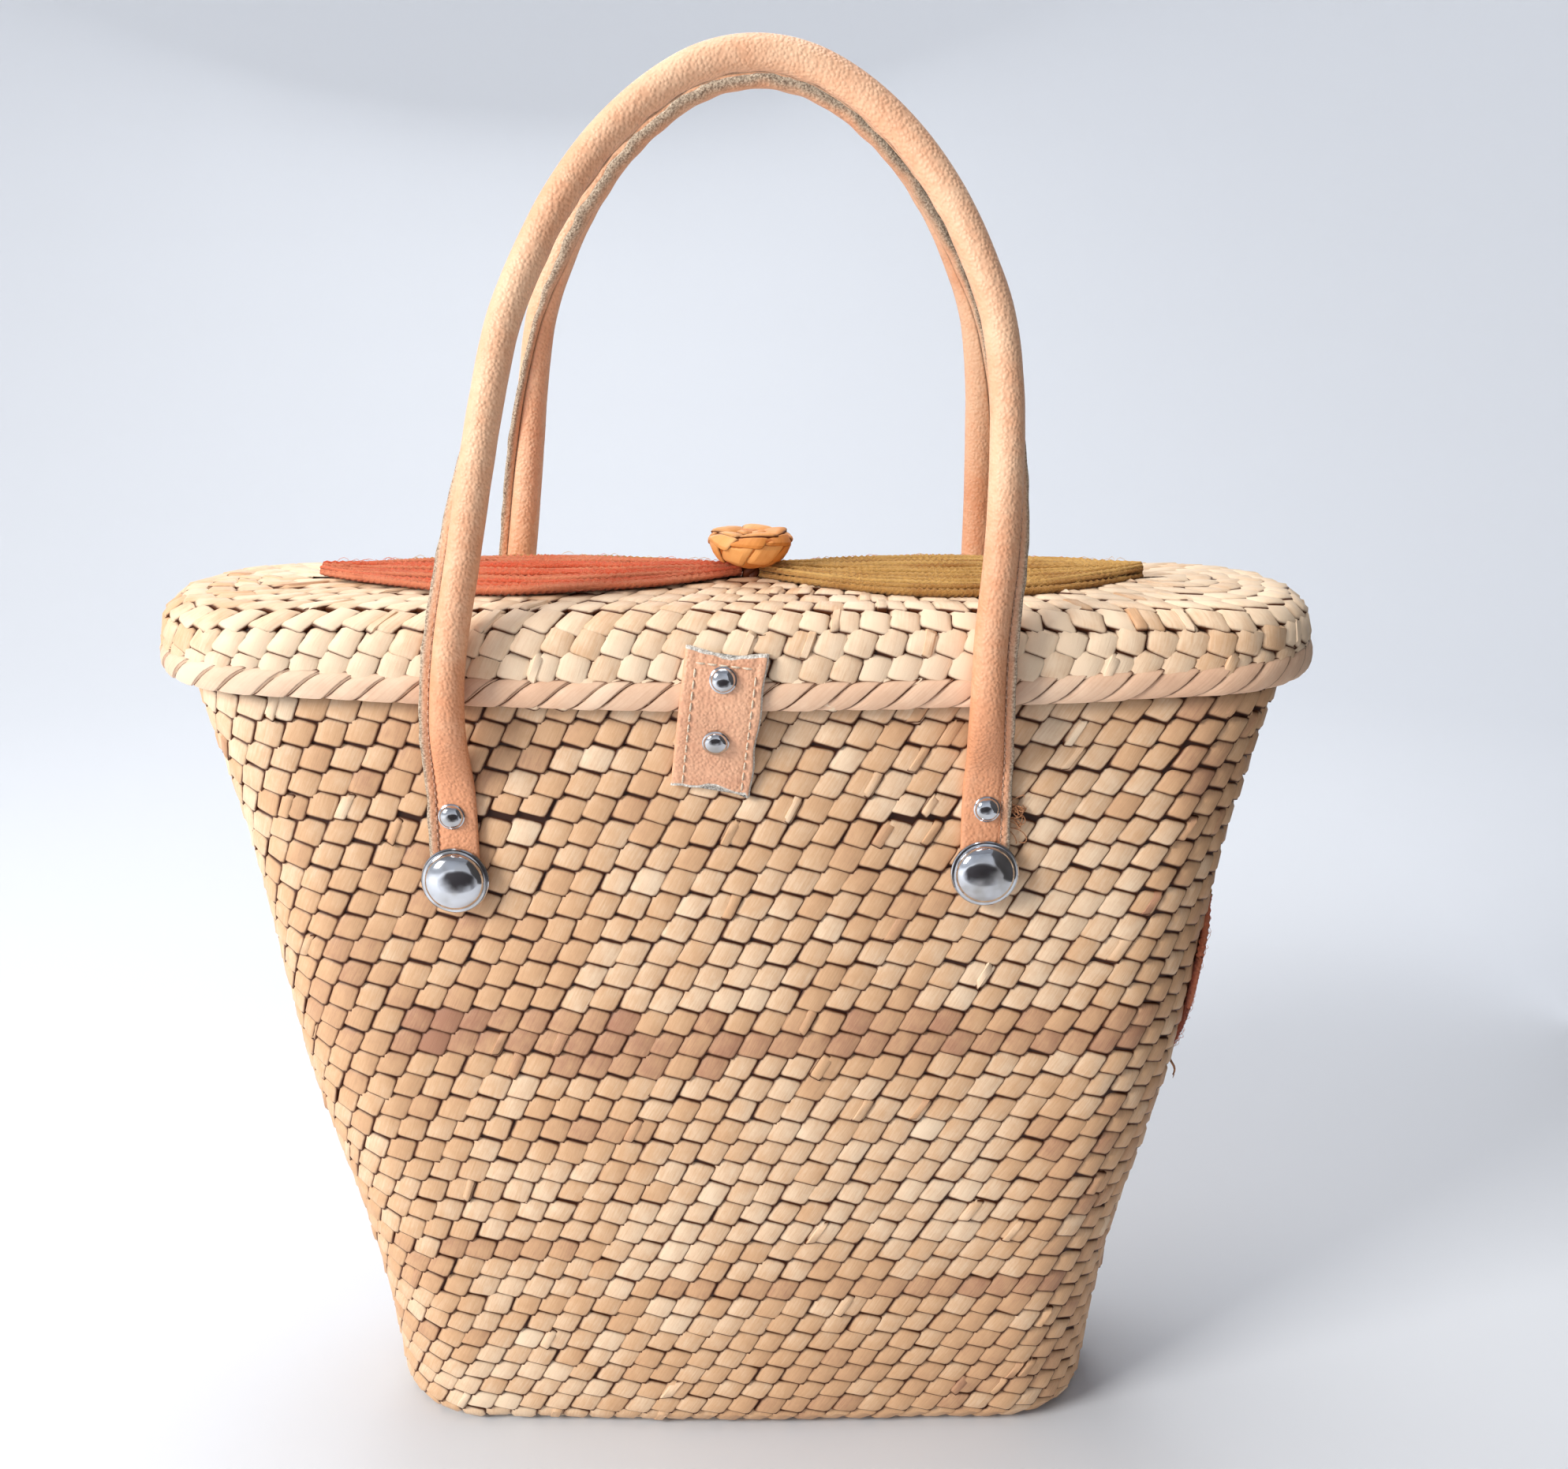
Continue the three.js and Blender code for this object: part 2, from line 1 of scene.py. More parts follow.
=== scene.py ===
import math
import bpy
import numpy as np
from mathutils import Matrix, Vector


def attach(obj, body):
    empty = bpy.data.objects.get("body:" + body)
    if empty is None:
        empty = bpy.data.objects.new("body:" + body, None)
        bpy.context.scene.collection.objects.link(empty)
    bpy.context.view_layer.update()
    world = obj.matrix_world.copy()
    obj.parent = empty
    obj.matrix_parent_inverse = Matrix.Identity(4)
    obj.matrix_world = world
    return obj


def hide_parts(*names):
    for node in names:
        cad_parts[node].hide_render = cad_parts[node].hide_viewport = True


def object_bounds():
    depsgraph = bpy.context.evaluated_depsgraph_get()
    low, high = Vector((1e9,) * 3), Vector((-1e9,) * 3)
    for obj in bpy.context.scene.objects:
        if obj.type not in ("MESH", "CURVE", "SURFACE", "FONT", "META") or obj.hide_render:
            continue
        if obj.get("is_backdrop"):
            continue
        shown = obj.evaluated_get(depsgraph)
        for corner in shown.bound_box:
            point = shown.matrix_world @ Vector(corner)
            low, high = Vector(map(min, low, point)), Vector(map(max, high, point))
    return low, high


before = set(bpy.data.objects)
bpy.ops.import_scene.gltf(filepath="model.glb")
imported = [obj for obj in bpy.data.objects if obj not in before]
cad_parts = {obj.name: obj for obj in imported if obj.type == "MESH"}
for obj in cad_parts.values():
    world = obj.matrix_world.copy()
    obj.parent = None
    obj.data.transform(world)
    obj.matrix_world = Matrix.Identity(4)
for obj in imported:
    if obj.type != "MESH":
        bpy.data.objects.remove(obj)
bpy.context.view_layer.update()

# Camera, floor and studio light. The bag is seen from a little above, straight at its
# front, on a plain pale surface that curves up all round into the background.
mm = 0.001
photo_width, focal_pixels = 1988, 2000
sensor = 36
camera_place, look_down = (0.017, -0.568, 0.4411), math.radians(16.46)
camera_data = bpy.data.cameras.new("camera")
camera_data.sensor_width = sensor
camera_data.lens = focal_pixels / photo_width * sensor
camera = bpy.data.objects.new("camera", camera_data)
camera.location = camera_place
camera.rotation_euler = (math.pi / 2 - look_down, 0, 0)
bpy.context.scene.collection.objects.link(camera)
bpy.context.scene.camera = camera
bpy.context.scene.view_settings.view_transform = "Standard"


class Value:
    """A number in a material's nodes, so that sums on it are written as sums."""

    def __init__(self, finish, socket):
        self.finish, self.socket = finish, socket

    def __add__(self, other):
        return self.finish.math("ADD", self, other)

    def __radd__(self, other):
        return self.finish.math("ADD", other, self)

    def __sub__(self, other):
        return self.finish.math("SUBTRACT", self, other)

    def __rsub__(self, other):
        return self.finish.math("SUBTRACT", other, self)

    def __mul__(self, other):
        return self.finish.math("MULTIPLY", self, other)

    def __pow__(self, other):
        return self.finish.math("POWER", self, other)

    def __abs__(self):
        return self.finish.math("ABSOLUTE", self)

    def step(self, low, high):
        """0 below low, 1 above high, smooth in between."""
        return self.finish.node(
            "ShaderNodeMapRange", {"interpolation_type": "SMOOTHSTEP"},
            {"Value": self, "From Min": low, "From Max": high},
        )["Result"]


class Finish:
    """A material and its nodes, each node made by one call with its settings and inputs."""

    def __init__(self, name):
        self.material = bpy.data.materials.new(name)
        self.material.use_nodes = True
        self.nodes = self.material.node_tree.nodes
        self.links = self.material.node_tree.links
        self.shader = self.nodes["Principled BSDF"]

    def node(self, kind, settings=None, inputs=None):
        node = self.nodes.new(kind)
        for key, value in (settings or {}).items():
            setattr(node, key, value)
        for key, value in (inputs or {}).items():
            self.plug(node.inputs[key], value)
        return {o.name: Value(self, o) for o in node.outputs if o.enabled}

    def plug(self, socket, value):
        if isinstance(value, Value):
            self.links.new(value.socket, socket)
        else:
            socket.default_value = value

    def math(self, operation, first, second=None):
        inputs = {0: first} if second is None else {0: first, 1: second}
        return self.node("ShaderNodeMath", {"operation": operation}, inputs)["Value"]

    def mix(self, share, first, second):
        """A colour between two colours, given in the values seen on a screen."""
        node = self.nodes.new("ShaderNodeMix")
        node.data_type = "RGBA"
        for index, value in ((0, share), (6, first), (7, second)):
            self.plug(node.inputs[index], linear(value) if isinstance(value, tuple) else value)
        return Value(self, node.outputs[2])

    def attribute(self, name):
        return self.node("ShaderNodeAttribute", {"attribute_name": name})["Fac"]

    def place(self):
        return self.node("ShaderNodeTexCoord")["Object"]

    def uv(self):
        """The two parts of the piece's own UV map."""
        both = self.node("ShaderNodeTexCoord")["UV"]
        parts = self.node("ShaderNodeSeparateXYZ", {}, {"Vector": both})
        return parts["X"], parts["Y"]

    def vector(self, x, y, z=0.0):
        return self.node("ShaderNodeCombineXYZ", {}, {"X": x, "Y": y, "Z": z})["Vector"]

    def noise(self, vector, scale, detail=2.0, roughness=0.5):
        inputs = {"Vector": vector, "Scale": scale, "Detail": detail, "Roughness": roughness}
        return list(self.node("ShaderNodeTexNoise", {}, inputs).values())[0]

    def bump(self, height, distance, strength=1.0):
        inputs = {"Height": height, "Distance": distance, "Strength": strength}
        self.plug(self.shader.inputs["Normal"], self.node("ShaderNodeBump", {}, inputs)["Normal"])

    def set(self, **values):
        """Values on the shader's own sockets, with _ for a space in a socket's name."""
        for key, value in values.items():
            value = linear(value) if isinstance(value, tuple) else value
            self.plug(self.shader.inputs[key.replace("_", " ")], value)
        return self.material


def linear(colour):
    """A screen colour, red, green and blue from 0 to 1, as the light values nodes use."""
    parts = [c / 12.92 if c <= 0.04045 else ((c + 0.055) / 1.055) ** 2.4 for c in colour[:3]]
    return (*parts, 1.0)


def clear_selection():
    if bpy.context.object and bpy.context.object.mode != "OBJECT":
        bpy.ops.object.mode_set(mode="OBJECT")
    bpy.ops.object.select_all(action="DESELECT")


# The stage is a shallow bowl: a flat disc whose edge is spun up in a wide curve.
stage_colour = (0.9, 0.91, 0.925)
flat_reach, bowl_curve, bowl_height = 1.25, 1.0, 2.4
turns = [math.radians(a) for a in range(0, 91, 10)]
profile = [(0.0, 0.0)] + [
    (flat_reach + bowl_curve * math.sin(a), bowl_curve * (1 - math.cos(a))) for a in turns
] + [(flat_reach + bowl_curve, bowl_height)]


def spun(name, profile, steps, inward=False):
    """An object spun once round Z from (radius, height) pairs in metres."""
    mesh = bpy.data.meshes.new(name)
    edges = [(i, i + 1) for i in range(len(profile) - 1)]
    mesh.from_pydata([(r, 0, z) for r, z in profile], edges, [])
    piece = bpy.data.objects.new(name, mesh)
    bpy.context.scene.collection.objects.link(piece)
    clear_selection()
    bpy.context.view_layer.objects.active = piece
    piece.select_set(True)
    bpy.ops.object.mode_set(mode="EDIT")
    bpy.ops.mesh.select_all(action="SELECT")
    bpy.ops.mesh.spin(steps=steps, angle=2 * math.pi, center=(0, 0, 0), axis=(0, 0, 1))
    bpy.ops.mesh.select_all(action="SELECT")
    bpy.ops.mesh.remove_doubles(threshold=1e-6)
    bpy.ops.mesh.normals_make_consistent(inside=inward)
    bpy.ops.object.mode_set(mode="OBJECT")
    return piece


stage_bowl = spun("stage_bowl", profile, 72, inward=True)
bpy.ops.object.shade_smooth()
paper = Finish("stage_paper")
stage_bowl.data.materials.append(paper.set(Base_Color=stage_colour, Roughness=0.9))
stage_bowl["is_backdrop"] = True

world = bpy.data.worlds.new("studio")
world.use_nodes = True
room_colour, room_strength = (0.93, 0.95, 1.0), 0.36
room = world.node_tree.nodes["Background"].inputs
room["Color"].default_value = linear(room_colour)
room["Strength"].default_value = room_strength
bpy.context.scene.world = world

# Soft boxes: a wide one high on the left, a weaker one on the right, one overhead and one behind
soft_boxes = [
    # place, size, watts, colour
    ((-1.35, -0.95, 1.1), 0.6, 28, (1.0, 0.985, 0.96)),
    ((1.5, -0.9, 0.7), 0.7, 0.6, (0.96, 0.98, 1.0)),
    ((-0.1, 0.25, 1.7), 1.0, 12, (1.0, 1.0, 1.0)),
    ((-0.3, 1.8, 1.3), 1.0, 8, (0.97, 0.98, 1.0)),
]
for i, (place, size, watts, colour) in enumerate(soft_boxes):
    light_data = bpy.data.lights.new(f"soft_box_{i}", "AREA")
    light_data.size, light_data.energy, light_data.color = size, watts, colour
    light = bpy.data.objects.new(f"soft_box_{i}", light_data)
    light.location = place
    aim = np.array((0, 0, 0.2)) - np.array(place)
    reach = np.linalg.norm(aim)
    light.rotation_euler = (math.acos(-aim[2] / reach), 0, math.atan2(aim[1], aim[0]) - math.pi / 2)
    bpy.context.scene.collection.objects.link(light)

# Dark cards low in front and behind, seen only in the polished caps, as a room would be
card_finish = Finish("dark_card")
card_u, card_v = card_finish.uv()
card_u, card_v = card_u * 2 - 1, card_v * 2 - 1
blots = card_finish.noise(card_finish.place(), 4.0, 3, 0.6)
card_tone = ((card_u * card_u + card_v * card_v) ** 0.5 + (blots - 0.5) * 0.7).step(0.5, 1.0)
card_dark = (0.2, 0.18, 0.19)
card_finish.set(Base_Color=card_finish.mix(card_tone, card_dark, (0.9, 0.91, 0.93)), Roughness=1.0)
card_half_width, card_half_height, card_away, card_middle, card_lean = 0.6, 0.3, 0.78, 0.24, 0.45
for way, side in (("front", -1), ("back", 1)):
    clear_selection()
    bpy.ops.mesh.primitive_circle_add(vertices=48, radius=1, fill_type="NGON")
    card = bpy.context.object
    card.name = f"stage_card_{way}"
    card.data.transform(Matrix((
        (card_half_width, 0, 0, 0), (0, card_lean, 0, side * card_away),
        (0, side * card_half_height, 0, card_middle), (0, 0, 0, 1),
    )))
    card.data.materials.append(card_finish.material)
    card.visible_camera = card.visible_diffuse = card.visible_shadow = False
    card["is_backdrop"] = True

# A dark panel on the right keeps the light of that side off the bag
clear_selection()
bpy.ops.mesh.primitive_plane_add(size=1)
panel = bpy.context.object
panel.name = "stage_panel_right"
panel_away, panel_wide, panel_tall = 0.5, 1.3, 1.16
panel.data.transform(Matrix((
    (0, 0, 0, panel_away), (0, panel_wide, 0, -0.35), (panel_tall, 0, 0, 0.53), (0, 0, 0, 1),
)))
panel.data.materials.append(Finish("dark_panel").set(Base_Color=(0.25, 0.24, 0.24), Roughness=1.0))
panel.visible_camera = panel.visible_shadow = False
panel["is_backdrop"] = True


# Basket body: flat strips of dried palm leaf plaited corner to corner, so that each crossing
# shows as a slanted pad. The rows go level round the basket, and the strips run on under the
# rounded lower edge and across the base. A thin lining of the same leaf stands behind, coloured
# dark brown as painted shade for the gaps between the pads.
mouth_width, mouth_depth, wall_height = 399, 93, 300
base_edge = 11
front_bow, end_bow = 2.5, 3
body_rings = np.array([
    # level as a share of the height, width and depth of the mouth's, corner of the half depth
    (0.037, 0.716, 1.02, 0.62), (0.15, 0.735, 1.07, 0.62), (0.265, 0.766, 1.1, 0.64),
    (0.375, 0.808, 1.11, 0.66), (0.485, 0.85, 1.11, 0.68), (0.595, 0.879, 1.09, 0.7),
    (0.7, 0.902, 1.06, 0.72), (0.8, 0.927, 1.04, 0.74), (0.9, 0.961, 1.02, 0.77), (1, 1, 1, 0.8),
])


def between(rows, column, at):
    """Smooth value between table rows."""
    key, values = rows[:, 0], rows[:, column]
    padded_key = np.concatenate([key[:1], key, key[-1:]])
    padded = np.concatenate([values[:1], values, values[-1:]])
    slopes = (padded[2:] - padded[:-2]) / (padded_key[2:] - padded_key[:-2])
    i = np.clip(np.searchsorted(key, at, side="left") - 1, 0, len(key) - 2)
    span = key[i + 1] - key[i]
    t = np.clip((at - key[i]) / span, 0, 1)
    return (
        values[i] * (2 * t**3 - 3 * t**2 + 1) + slopes[i] * span * (t**3 - 2 * t**2 + t)
        + values[i + 1] * (3 * t**2 - 2 * t**3) + slopes[i + 1] * span * (t**3 - t**2)
    )


class Outline:
    """An oblong with round corners and bowed sides; a place on it is counted in quarters from
    the middle of the front, past the right end."""

    def __init__(self, half_width, half_depth, corner, bow_front, bow_end):
        self.radius = np.minimum(corner, half_depth - bow_front)
        self.bow_front, self.bow_end = bow_front, bow_end
        self.straight_x = half_width - bow_end - self.radius
        self.straight_y = half_depth - bow_front - self.radius
        self.quarter = self.straight_x + self.radius * math.pi / 2 + self.straight_y

    def at(self, place):
        s = np.mod(place, 4) * self.quarter
        left = s > 2 * self.quarter
        s = np.where(left, 4 * self.quarter - s, s)
        back = s > self.quarter
        s = np.where(back, 2 * self.quarter - s, s)
        turn = np.clip((s - self.straight_x) / self.radius, 0, math.pi / 2)
        along = np.minimum(s, self.straight_x)
        upto = np.maximum(s - self.straight_x - self.radius * math.pi / 2, 0)
        arch_x = (1 + np.cos(math.pi * along / self.straight_x)) / 2
        end_share = np.clip((self.straight_y - upto) / np.maximum(self.straight_y, 1e-6), 0, 1)
        arch_y = np.where(self.straight_y > 1e-6, (1 + np.cos(math.pi * end_share)) / 2, 0)
        x = along + self.radius * np.sin(turn) + self.bow_end * arch_y * (turn >= math.pi / 2)
        y = self.straight_y + self.radius * np.cos(turn) + self.bow_front * arch_x - upto
        return np.where(left, -x, x), np.where(back, y, -y)


def body_outline(z, inset=0):
    level = np.asarray(z, float) / wall_height
    half_depth = between(body_rings, 2, level) * mouth_depth / 2
    half_width = between(body_rings, 1, level) * mouth_width / 2
    corner = between(body_rings, 3, level) * half_depth
    left_over = half_depth - inset
    bow = np.clip(left_over / half_depth, 0, 1)
    return Outline(
        half_width - inset, left_over, np.maximum(corner - inset, 0.8 * left_over),
        front_bow * bow, end_bow * bow,
    )


edge_length = base_edge * math.pi / 2


def body_level(climb):
    """Height and inset of a place that is climb millimetres up from the edge of the flat base."""
    turn = np.clip(climb / base_edge, 0, math.pi / 2)
    z = base_edge * (1 - np.cos(turn)) + np.maximum(climb - edge_length, 0)
    inset = base_edge * (1 - np.sin(turn)) + np.maximum(-climb, 0)
    return z, inset


def body_surface(place, climb):
    z, inset = body_level(climb)
    x, y = body_outline(np.maximum(z, base_edge), inset).at(place)
    return np.stack([x, y, z], -1)


def facing(surface, place, climb):
    """The way out of the surface, from its slopes."""
    across = surface(place + 0.004, climb) - surface(place - 0.004, climb)
    up = surface(place, climb + 0.4) - surface(place, climb - 0.4)
    out = np.cross(across, up)
    return out / np.maximum(np.linalg.norm(out, axis=-1, keepdims=True), 1e-9)


def row_places(quarter, pitch, phase):
    """Middles of the pads of one row as places in quarters: evenly spaced on the front and
    the back, and eased together towards both ends so that a whole number fits."""
    count = int(round(2 * quarter / pitch))
    i = np.arange(count) + phase
    share = np.clip((i - count / 2) / 10 + 0.5, 0, 1)
    ease = share**2 * (3 - 2 * share)
    s = pitch * i * (1 - ease) + (2 * quarter - pitch * (count - i)) * ease
    return np.concatenate([s, s + 2 * quarter]) / quarter


# One pad: a 4 by 4 grid, its corners drawn in and its middle raised, with a turned-down edge
clear_selection()
bpy.ops.mesh.primitive_grid_add(x_subdivisions=3, y_subdivisions=3, size=2)
palm_pad = bpy.context.object
palm_pad.name = "palm_pad"
bpy.ops.object.mode_set(mode="EDIT")
bpy.ops.mesh.select_all(action="SELECT")
bpy.ops.mesh.region_to_loop()
bpy.ops.mesh.extrude_edges_move(TRANSFORM_OT_translate={"value": (0, 0, -1)})
bpy.ops.mesh.edge_face_add()
bpy.ops.mesh.select_all(action="SELECT")
bpy.ops.mesh.normals_make_consistent(inside=False)
bpy.ops.object.mode_set(mode="OBJECT")
pad_points = np.array([v.co for v in palm_pad.data.vertices])
pad_faces = [list(p.vertices) for p in palm_pad.data.polygons]
bpy.data.objects.remove(palm_pad)

pad_crown, pad_edge, pad_depth = 0.3, -0.8, -2.1
pad_inner, pad_corner = 0.62, 0.95


def shape_pad(tilt_up, tilt_across, drawn_in=pad_corner, crown=pad_crown):
    """The pad's points: across and up in halves of its size, and lift in millimetres."""
    # the grid's inner lines lie at a third of it and are drawn out to pad_inner
    u, v, top = pad_points[:, 0], pad_points[:, 1], pad_points[:, 2] > -0.5
    outer = np.maximum(abs(u), abs(v)) > 0.9
    corner = (abs(u) > 0.9) & (abs(v) > 0.9)
    scale = np.where(corner, drawn_in, np.where(outer, 1.0, pad_inner * 3))
    across = np.where(outer & ~corner & (abs(u) < 0.9), u * 3 * pad_inner, u * scale)
    up = np.where(outer & ~corner & (abs(v) < 0.9), v * 3 * pad_inner, v * scale)
    lift = np.where(top, np.where(outer, pad_edge, crown), pad_depth)
    lift = lift + np.where(top, -tilt_up * v + tilt_across * u, 0)
    return np.stack([across, up, lift], -1)


def lay_pads(surface, place, climb, quarter, across, up, pad, lift=0.0, tilt=0.0):
    """Points of many pads laid on a surface. across and up are their two edges, in millimetres
    along the row and up the wall; lift raises a pad and tilt raises its right side."""
    du = pad[None, :, 0, None] / 2 * across[:, None, :]
    dv = pad[None, :, 1, None] / 2 * up[:, None, :]
    step = du + dv
    at_place = place[:, None] + step[..., 0] / quarter[:, None]
    at_climb = climb[:, None] + step[..., 1]
    middle_out = facing(surface, place, climb)[:, None, :]
    points = surface(at_place, at_climb)
    out = facing(surface, at_place, at_climb)
    out = np.where(np.isfinite(out).all(-1, keepdims=True), out, middle_out)
    height = pad[None, :, 2] + np.reshape(lift, (-1, 1)) + np.reshape(tilt, (-1, 1)) * pad[None, :, 0]
    return points + out * height[..., None]


def mesh_piece(name, points, faces, uv=None, attributes=None, smooth=50):
    """An object from points in millimetres, with its UV map and point attributes."""
    mesh = bpy.data.meshes.new(name)
    mesh.from_pydata((np.asarray(points) * mm).tolist(), [], faces)
    if uv is not None:
        layer = mesh.uv_layers.new(name="UVMap")
        corners = np.zeros(len(mesh.loops), np.int32)
        mesh.loops.foreach_get("vertex_index", corners)
        layer.data.foreach_set("uv", np.asarray(uv, np.float32)[corners].ravel())
    for key, values in (attributes or {}).items():
        layer = mesh.attributes.new(key, "FLOAT", "POINT")
        layer.data.foreach_set("value", np.asarray(values, np.float32))
    piece = bpy.data.objects.new(name, mesh)
    bpy.context.scene.collection.objects.link(piece)
    clear_selection()
    piece.select_set(True)
    bpy.context.view_layer.objects.active = piece
    bpy.ops.object.shade_smooth_by_angle(angle=math.radians(smooth))
    return piece


def many(points, faces):
    """Points and faces of copies of one shape, from an array copies x points x 3."""
    count = points.shape[1]
    return points.reshape(-1, 3), [
        [k * count + i for i in face] for k in range(len(points)) for face in faces
    ]


def loft_faces(rings, count):
    """Faces between rings of equally many points, capped at both ends."""
    faces = []
    for i in range(rings - 1):
        here, there = i * count, (i + 1) * count
        for k in range(count):
            following = (k + 1) % count
            faces.append([here + k, here + following, there + following, there + k])
    return faces + [list(range(count))[::-1], [(rings - 1) * count + k for k in range(count)]]


leaf_random = np.random.default_rng(7)
row_rise = ((0, 8.4), (17, 7.4), (60, 8.3), (130, 8.7), (230, 9.0), (330, 9.0))
pitch_low, pitch_high = 10.3, 10.9
tone_runs = [
    # height, from x, to x on the front, how much tanner and pinker these pads are
    (175, -124, 150, 0.5), (160, -91, -7, 0.45), (83, -113, -53, 0.45),
    (66, -41, 124, 0.5), (39, -140, -103, 0.4),
]


def row_of_pads(index, climb, phase, outline, pitch, rise):
    """Place, climb, quarter, pitch and rise of each pad of one row; odd rows are set off by
    half a pad."""
    quarter = float(outline.quarter)
    places = row_places(quarter, pitch, 0.5 * (index % 2) + phase)
    return np.stack(np.broadcast_arrays(places, climb, quarter, pitch, rise), -1)


climbs = [-31.5]
while climbs[-1] < edge_length + wall_height - base_edge + 4:
    climbs.append(climbs[-1] + np.interp(climbs[-1], *np.array(row_rise).T))
rows = []
for index, climb in enumerate(climbs):
    z, inset = body_level(np.array(climb))
    outline = body_outline(max(float(z), base_edge), inset)
    pitch = np.interp(z, (0, wall_height), (pitch_low, pitch_high))
    rows.append(row_of_pads(
        index, climb, 0.1, outline, pitch, np.interp(climb, *np.array(row_rise).T)
    ))
body_pads = np.concatenate(rows)


def leaf_sizes(pads, lean_across, lean_up, wide, tall, spread):
    """Edges of each pad with small hand-made differences."""
    count = len(pads)
    change = leaf_random.normal(0, 1, (count, 4)) * spread
    edges = change + (wide, lean_across, lean_up, tall)
    edges = edges * pads[:, (3, 4, 3, 4)]
    return edges[:, :2], edges[:, 2:]


across, up = leaf_sizes(body_pads, -0.3, 0.46, 0.92, 0.985, 0.03)
pad = shape_pad(0.5, 0.2)
lift = leaf_random.normal(0, 0.12, len(body_pads)) - 0.1
jitter = leaf_random.normal(0, 0.25, (len(body_pads), 2))
pad_places = body_pads[:, 0] + jitter[:, 0] / body_pads[:, 2]
pad_climbs = body_pads[:, 1] + jitter[:, 1]
middles = body_surface(pad_places, pad_climbs)

# Near the right end of the front the strips pull away, so the pads there lift their right
# sides; in one high row a few pads have slipped up and left open slots under them
tilt = leaf_random.normal(0.05, 0.12, len(body_pads))
towards_end = np.abs(np.mod(body_pads[:, 0], 4) - 0.93) < 0.24
tilt[towards_end] += leaf_random.uniform(0.15, 0.7, towards_end.sum())
across[towards_end] *= 0.93
up[towards_end] *= 0.95
pad_heights = body_level(body_pads[:, 1])[0]


def in_run(height, start, end):
    """Which pads lie on the front in the row nearest to a height, between two distances x."""
    away = abs(pad_heights - height)
    x, y = middles[:, 0], middles[:, 1]
    return (away < away.min() + 0.1) & (x > start) & (x < end) & (y < 0)


slot_height, slots = 262, ((-117, -60), (58, 74), (101, 113))
slipped = np.any([in_run(slot_height, *slot) for slot in slots], axis=0)
up[slipped] *= 0.82
pad_climbs = pad_climbs + np.where(slipped, 1.3, 0)
tone = np.clip(leaf_random.normal(0.45, 0.1, len(body_pads)), 0, 1)
# Pads near the right end of the front are painted tanner: painted shade, as that end lies in shade
tone[towards_end] += 0.16
for height, start, end, more in tone_runs:
    inside = in_run(height, start, end)
    tone[inside] += more * leaf_random.uniform(0.6, 1, inside.sum())


def with_splices(pads, places, climbs, across, up, lift, tilt, tone, share):
    """Adds narrow second strips over a share of the pads, where a new leaf was started."""
    picked = np.flatnonzero(leaf_random.uniform(0, 1, len(pads)) < share)
    aside = leaf_random.choice((-1, 1), len(picked)) * leaf_random.uniform(0.18, 0.3, len(picked))
    narrow = leaf_random.uniform(0.3, 0.5, len(picked))[:, None]
    turned_across = across[picked] * narrow
    turned_across += up[picked] * leaf_random.normal(0, 0.12, len(picked))[:, None]
    extra = (
        pads[picked], places[picked] + aside * pads[picked, 3] / pads[picked, 2], climbs[picked],
        turned_across, up[picked] * 1.04, lift[picked] + 0.42, tilt[picked],
        tone[picked] + leaf_random.normal(0.05, 0.2, len(picked)),
    )
    laid = (pads, places, climbs, across, up, lift, tilt, tone)
    return [np.concatenate(pair) for pair in zip(laid, extra)]


laid = with_splices(body_pads, pad_places, pad_climbs, across, up, lift, tilt, tone, 0.05)

# The lining behind the pads: a closed wall from the base up to the mouth under the lid, coloured dark as
# painted shade for the gaps
lining_out, lining_in, lining_steps, lining_shade_tone = 1.5, 2.5, 160, 1.6


def lining_rings(surface, climbs, depth):
    """Rings of points at a depth behind a surface."""
    around = np.linspace(0, 4, lining_steps, endpoint=False)
    levels = [np.full(lining_steps, climb) for climb in climbs]
    return [surface(around, level) - facing(surface, around, level) * depth for level in levels]


def plaited(name, surface, laid, pad, lining):
    """The pads and the lining behind them as one object, with a UV map and tones of each pad."""
    pads, places, climbs, across, up, lift, tilt, tone = laid
    points, faces = many(
        lay_pads(surface, places, climbs, pads[:, 2], across, up, pad, lift, tilt), pad_faces
    )
    leaf = leaf_random.uniform(0, 1, len(pads))
    lining_faces = loft_faces(len(lining) // lining_steps, lining_steps)
    pad_uv = np.tile((pad[:, :2] + 1) / 2, (len(pads), 1))
    return mesh_piece(
        name, np.concatenate([points, lining]),
        faces + [[i + len(points) for i in face] for face in lining_faces],
        np.concatenate([pad_uv, np.full((len(lining), 2), 0.5)]),
        {
            "tone": np.concatenate([np.repeat(tone, len(pad)), np.full(len(lining), lining_shade_tone)]),
            "leaf": np.concatenate([np.repeat(leaf, len(pad)), np.zeros(len(lining))]),
        },
    )


lining_climbs = [-44, -30, -15, 0, 6, 12, edge_length, *range(30, 301, 30), 322, 331]
lining = np.concatenate(
    lining_rings(body_surface, lining_climbs, lining_out)
    + lining_rings(body_surface, lining_climbs[::-1], lining_in)
)
basket_body = plaited("basket_body_palm", body_surface, laid, pad, lining)

leaf_cream, leaf_straw = (0.98, 0.87, 0.74), (0.87, 0.69, 0.52)
leaf_tan, leaf_edge_brown_and_shade, lining_painted_shade = (0.7, 0.5, 0.39), (0.33, 0.16, 0.05), (0.22, 0.1, 0.04)


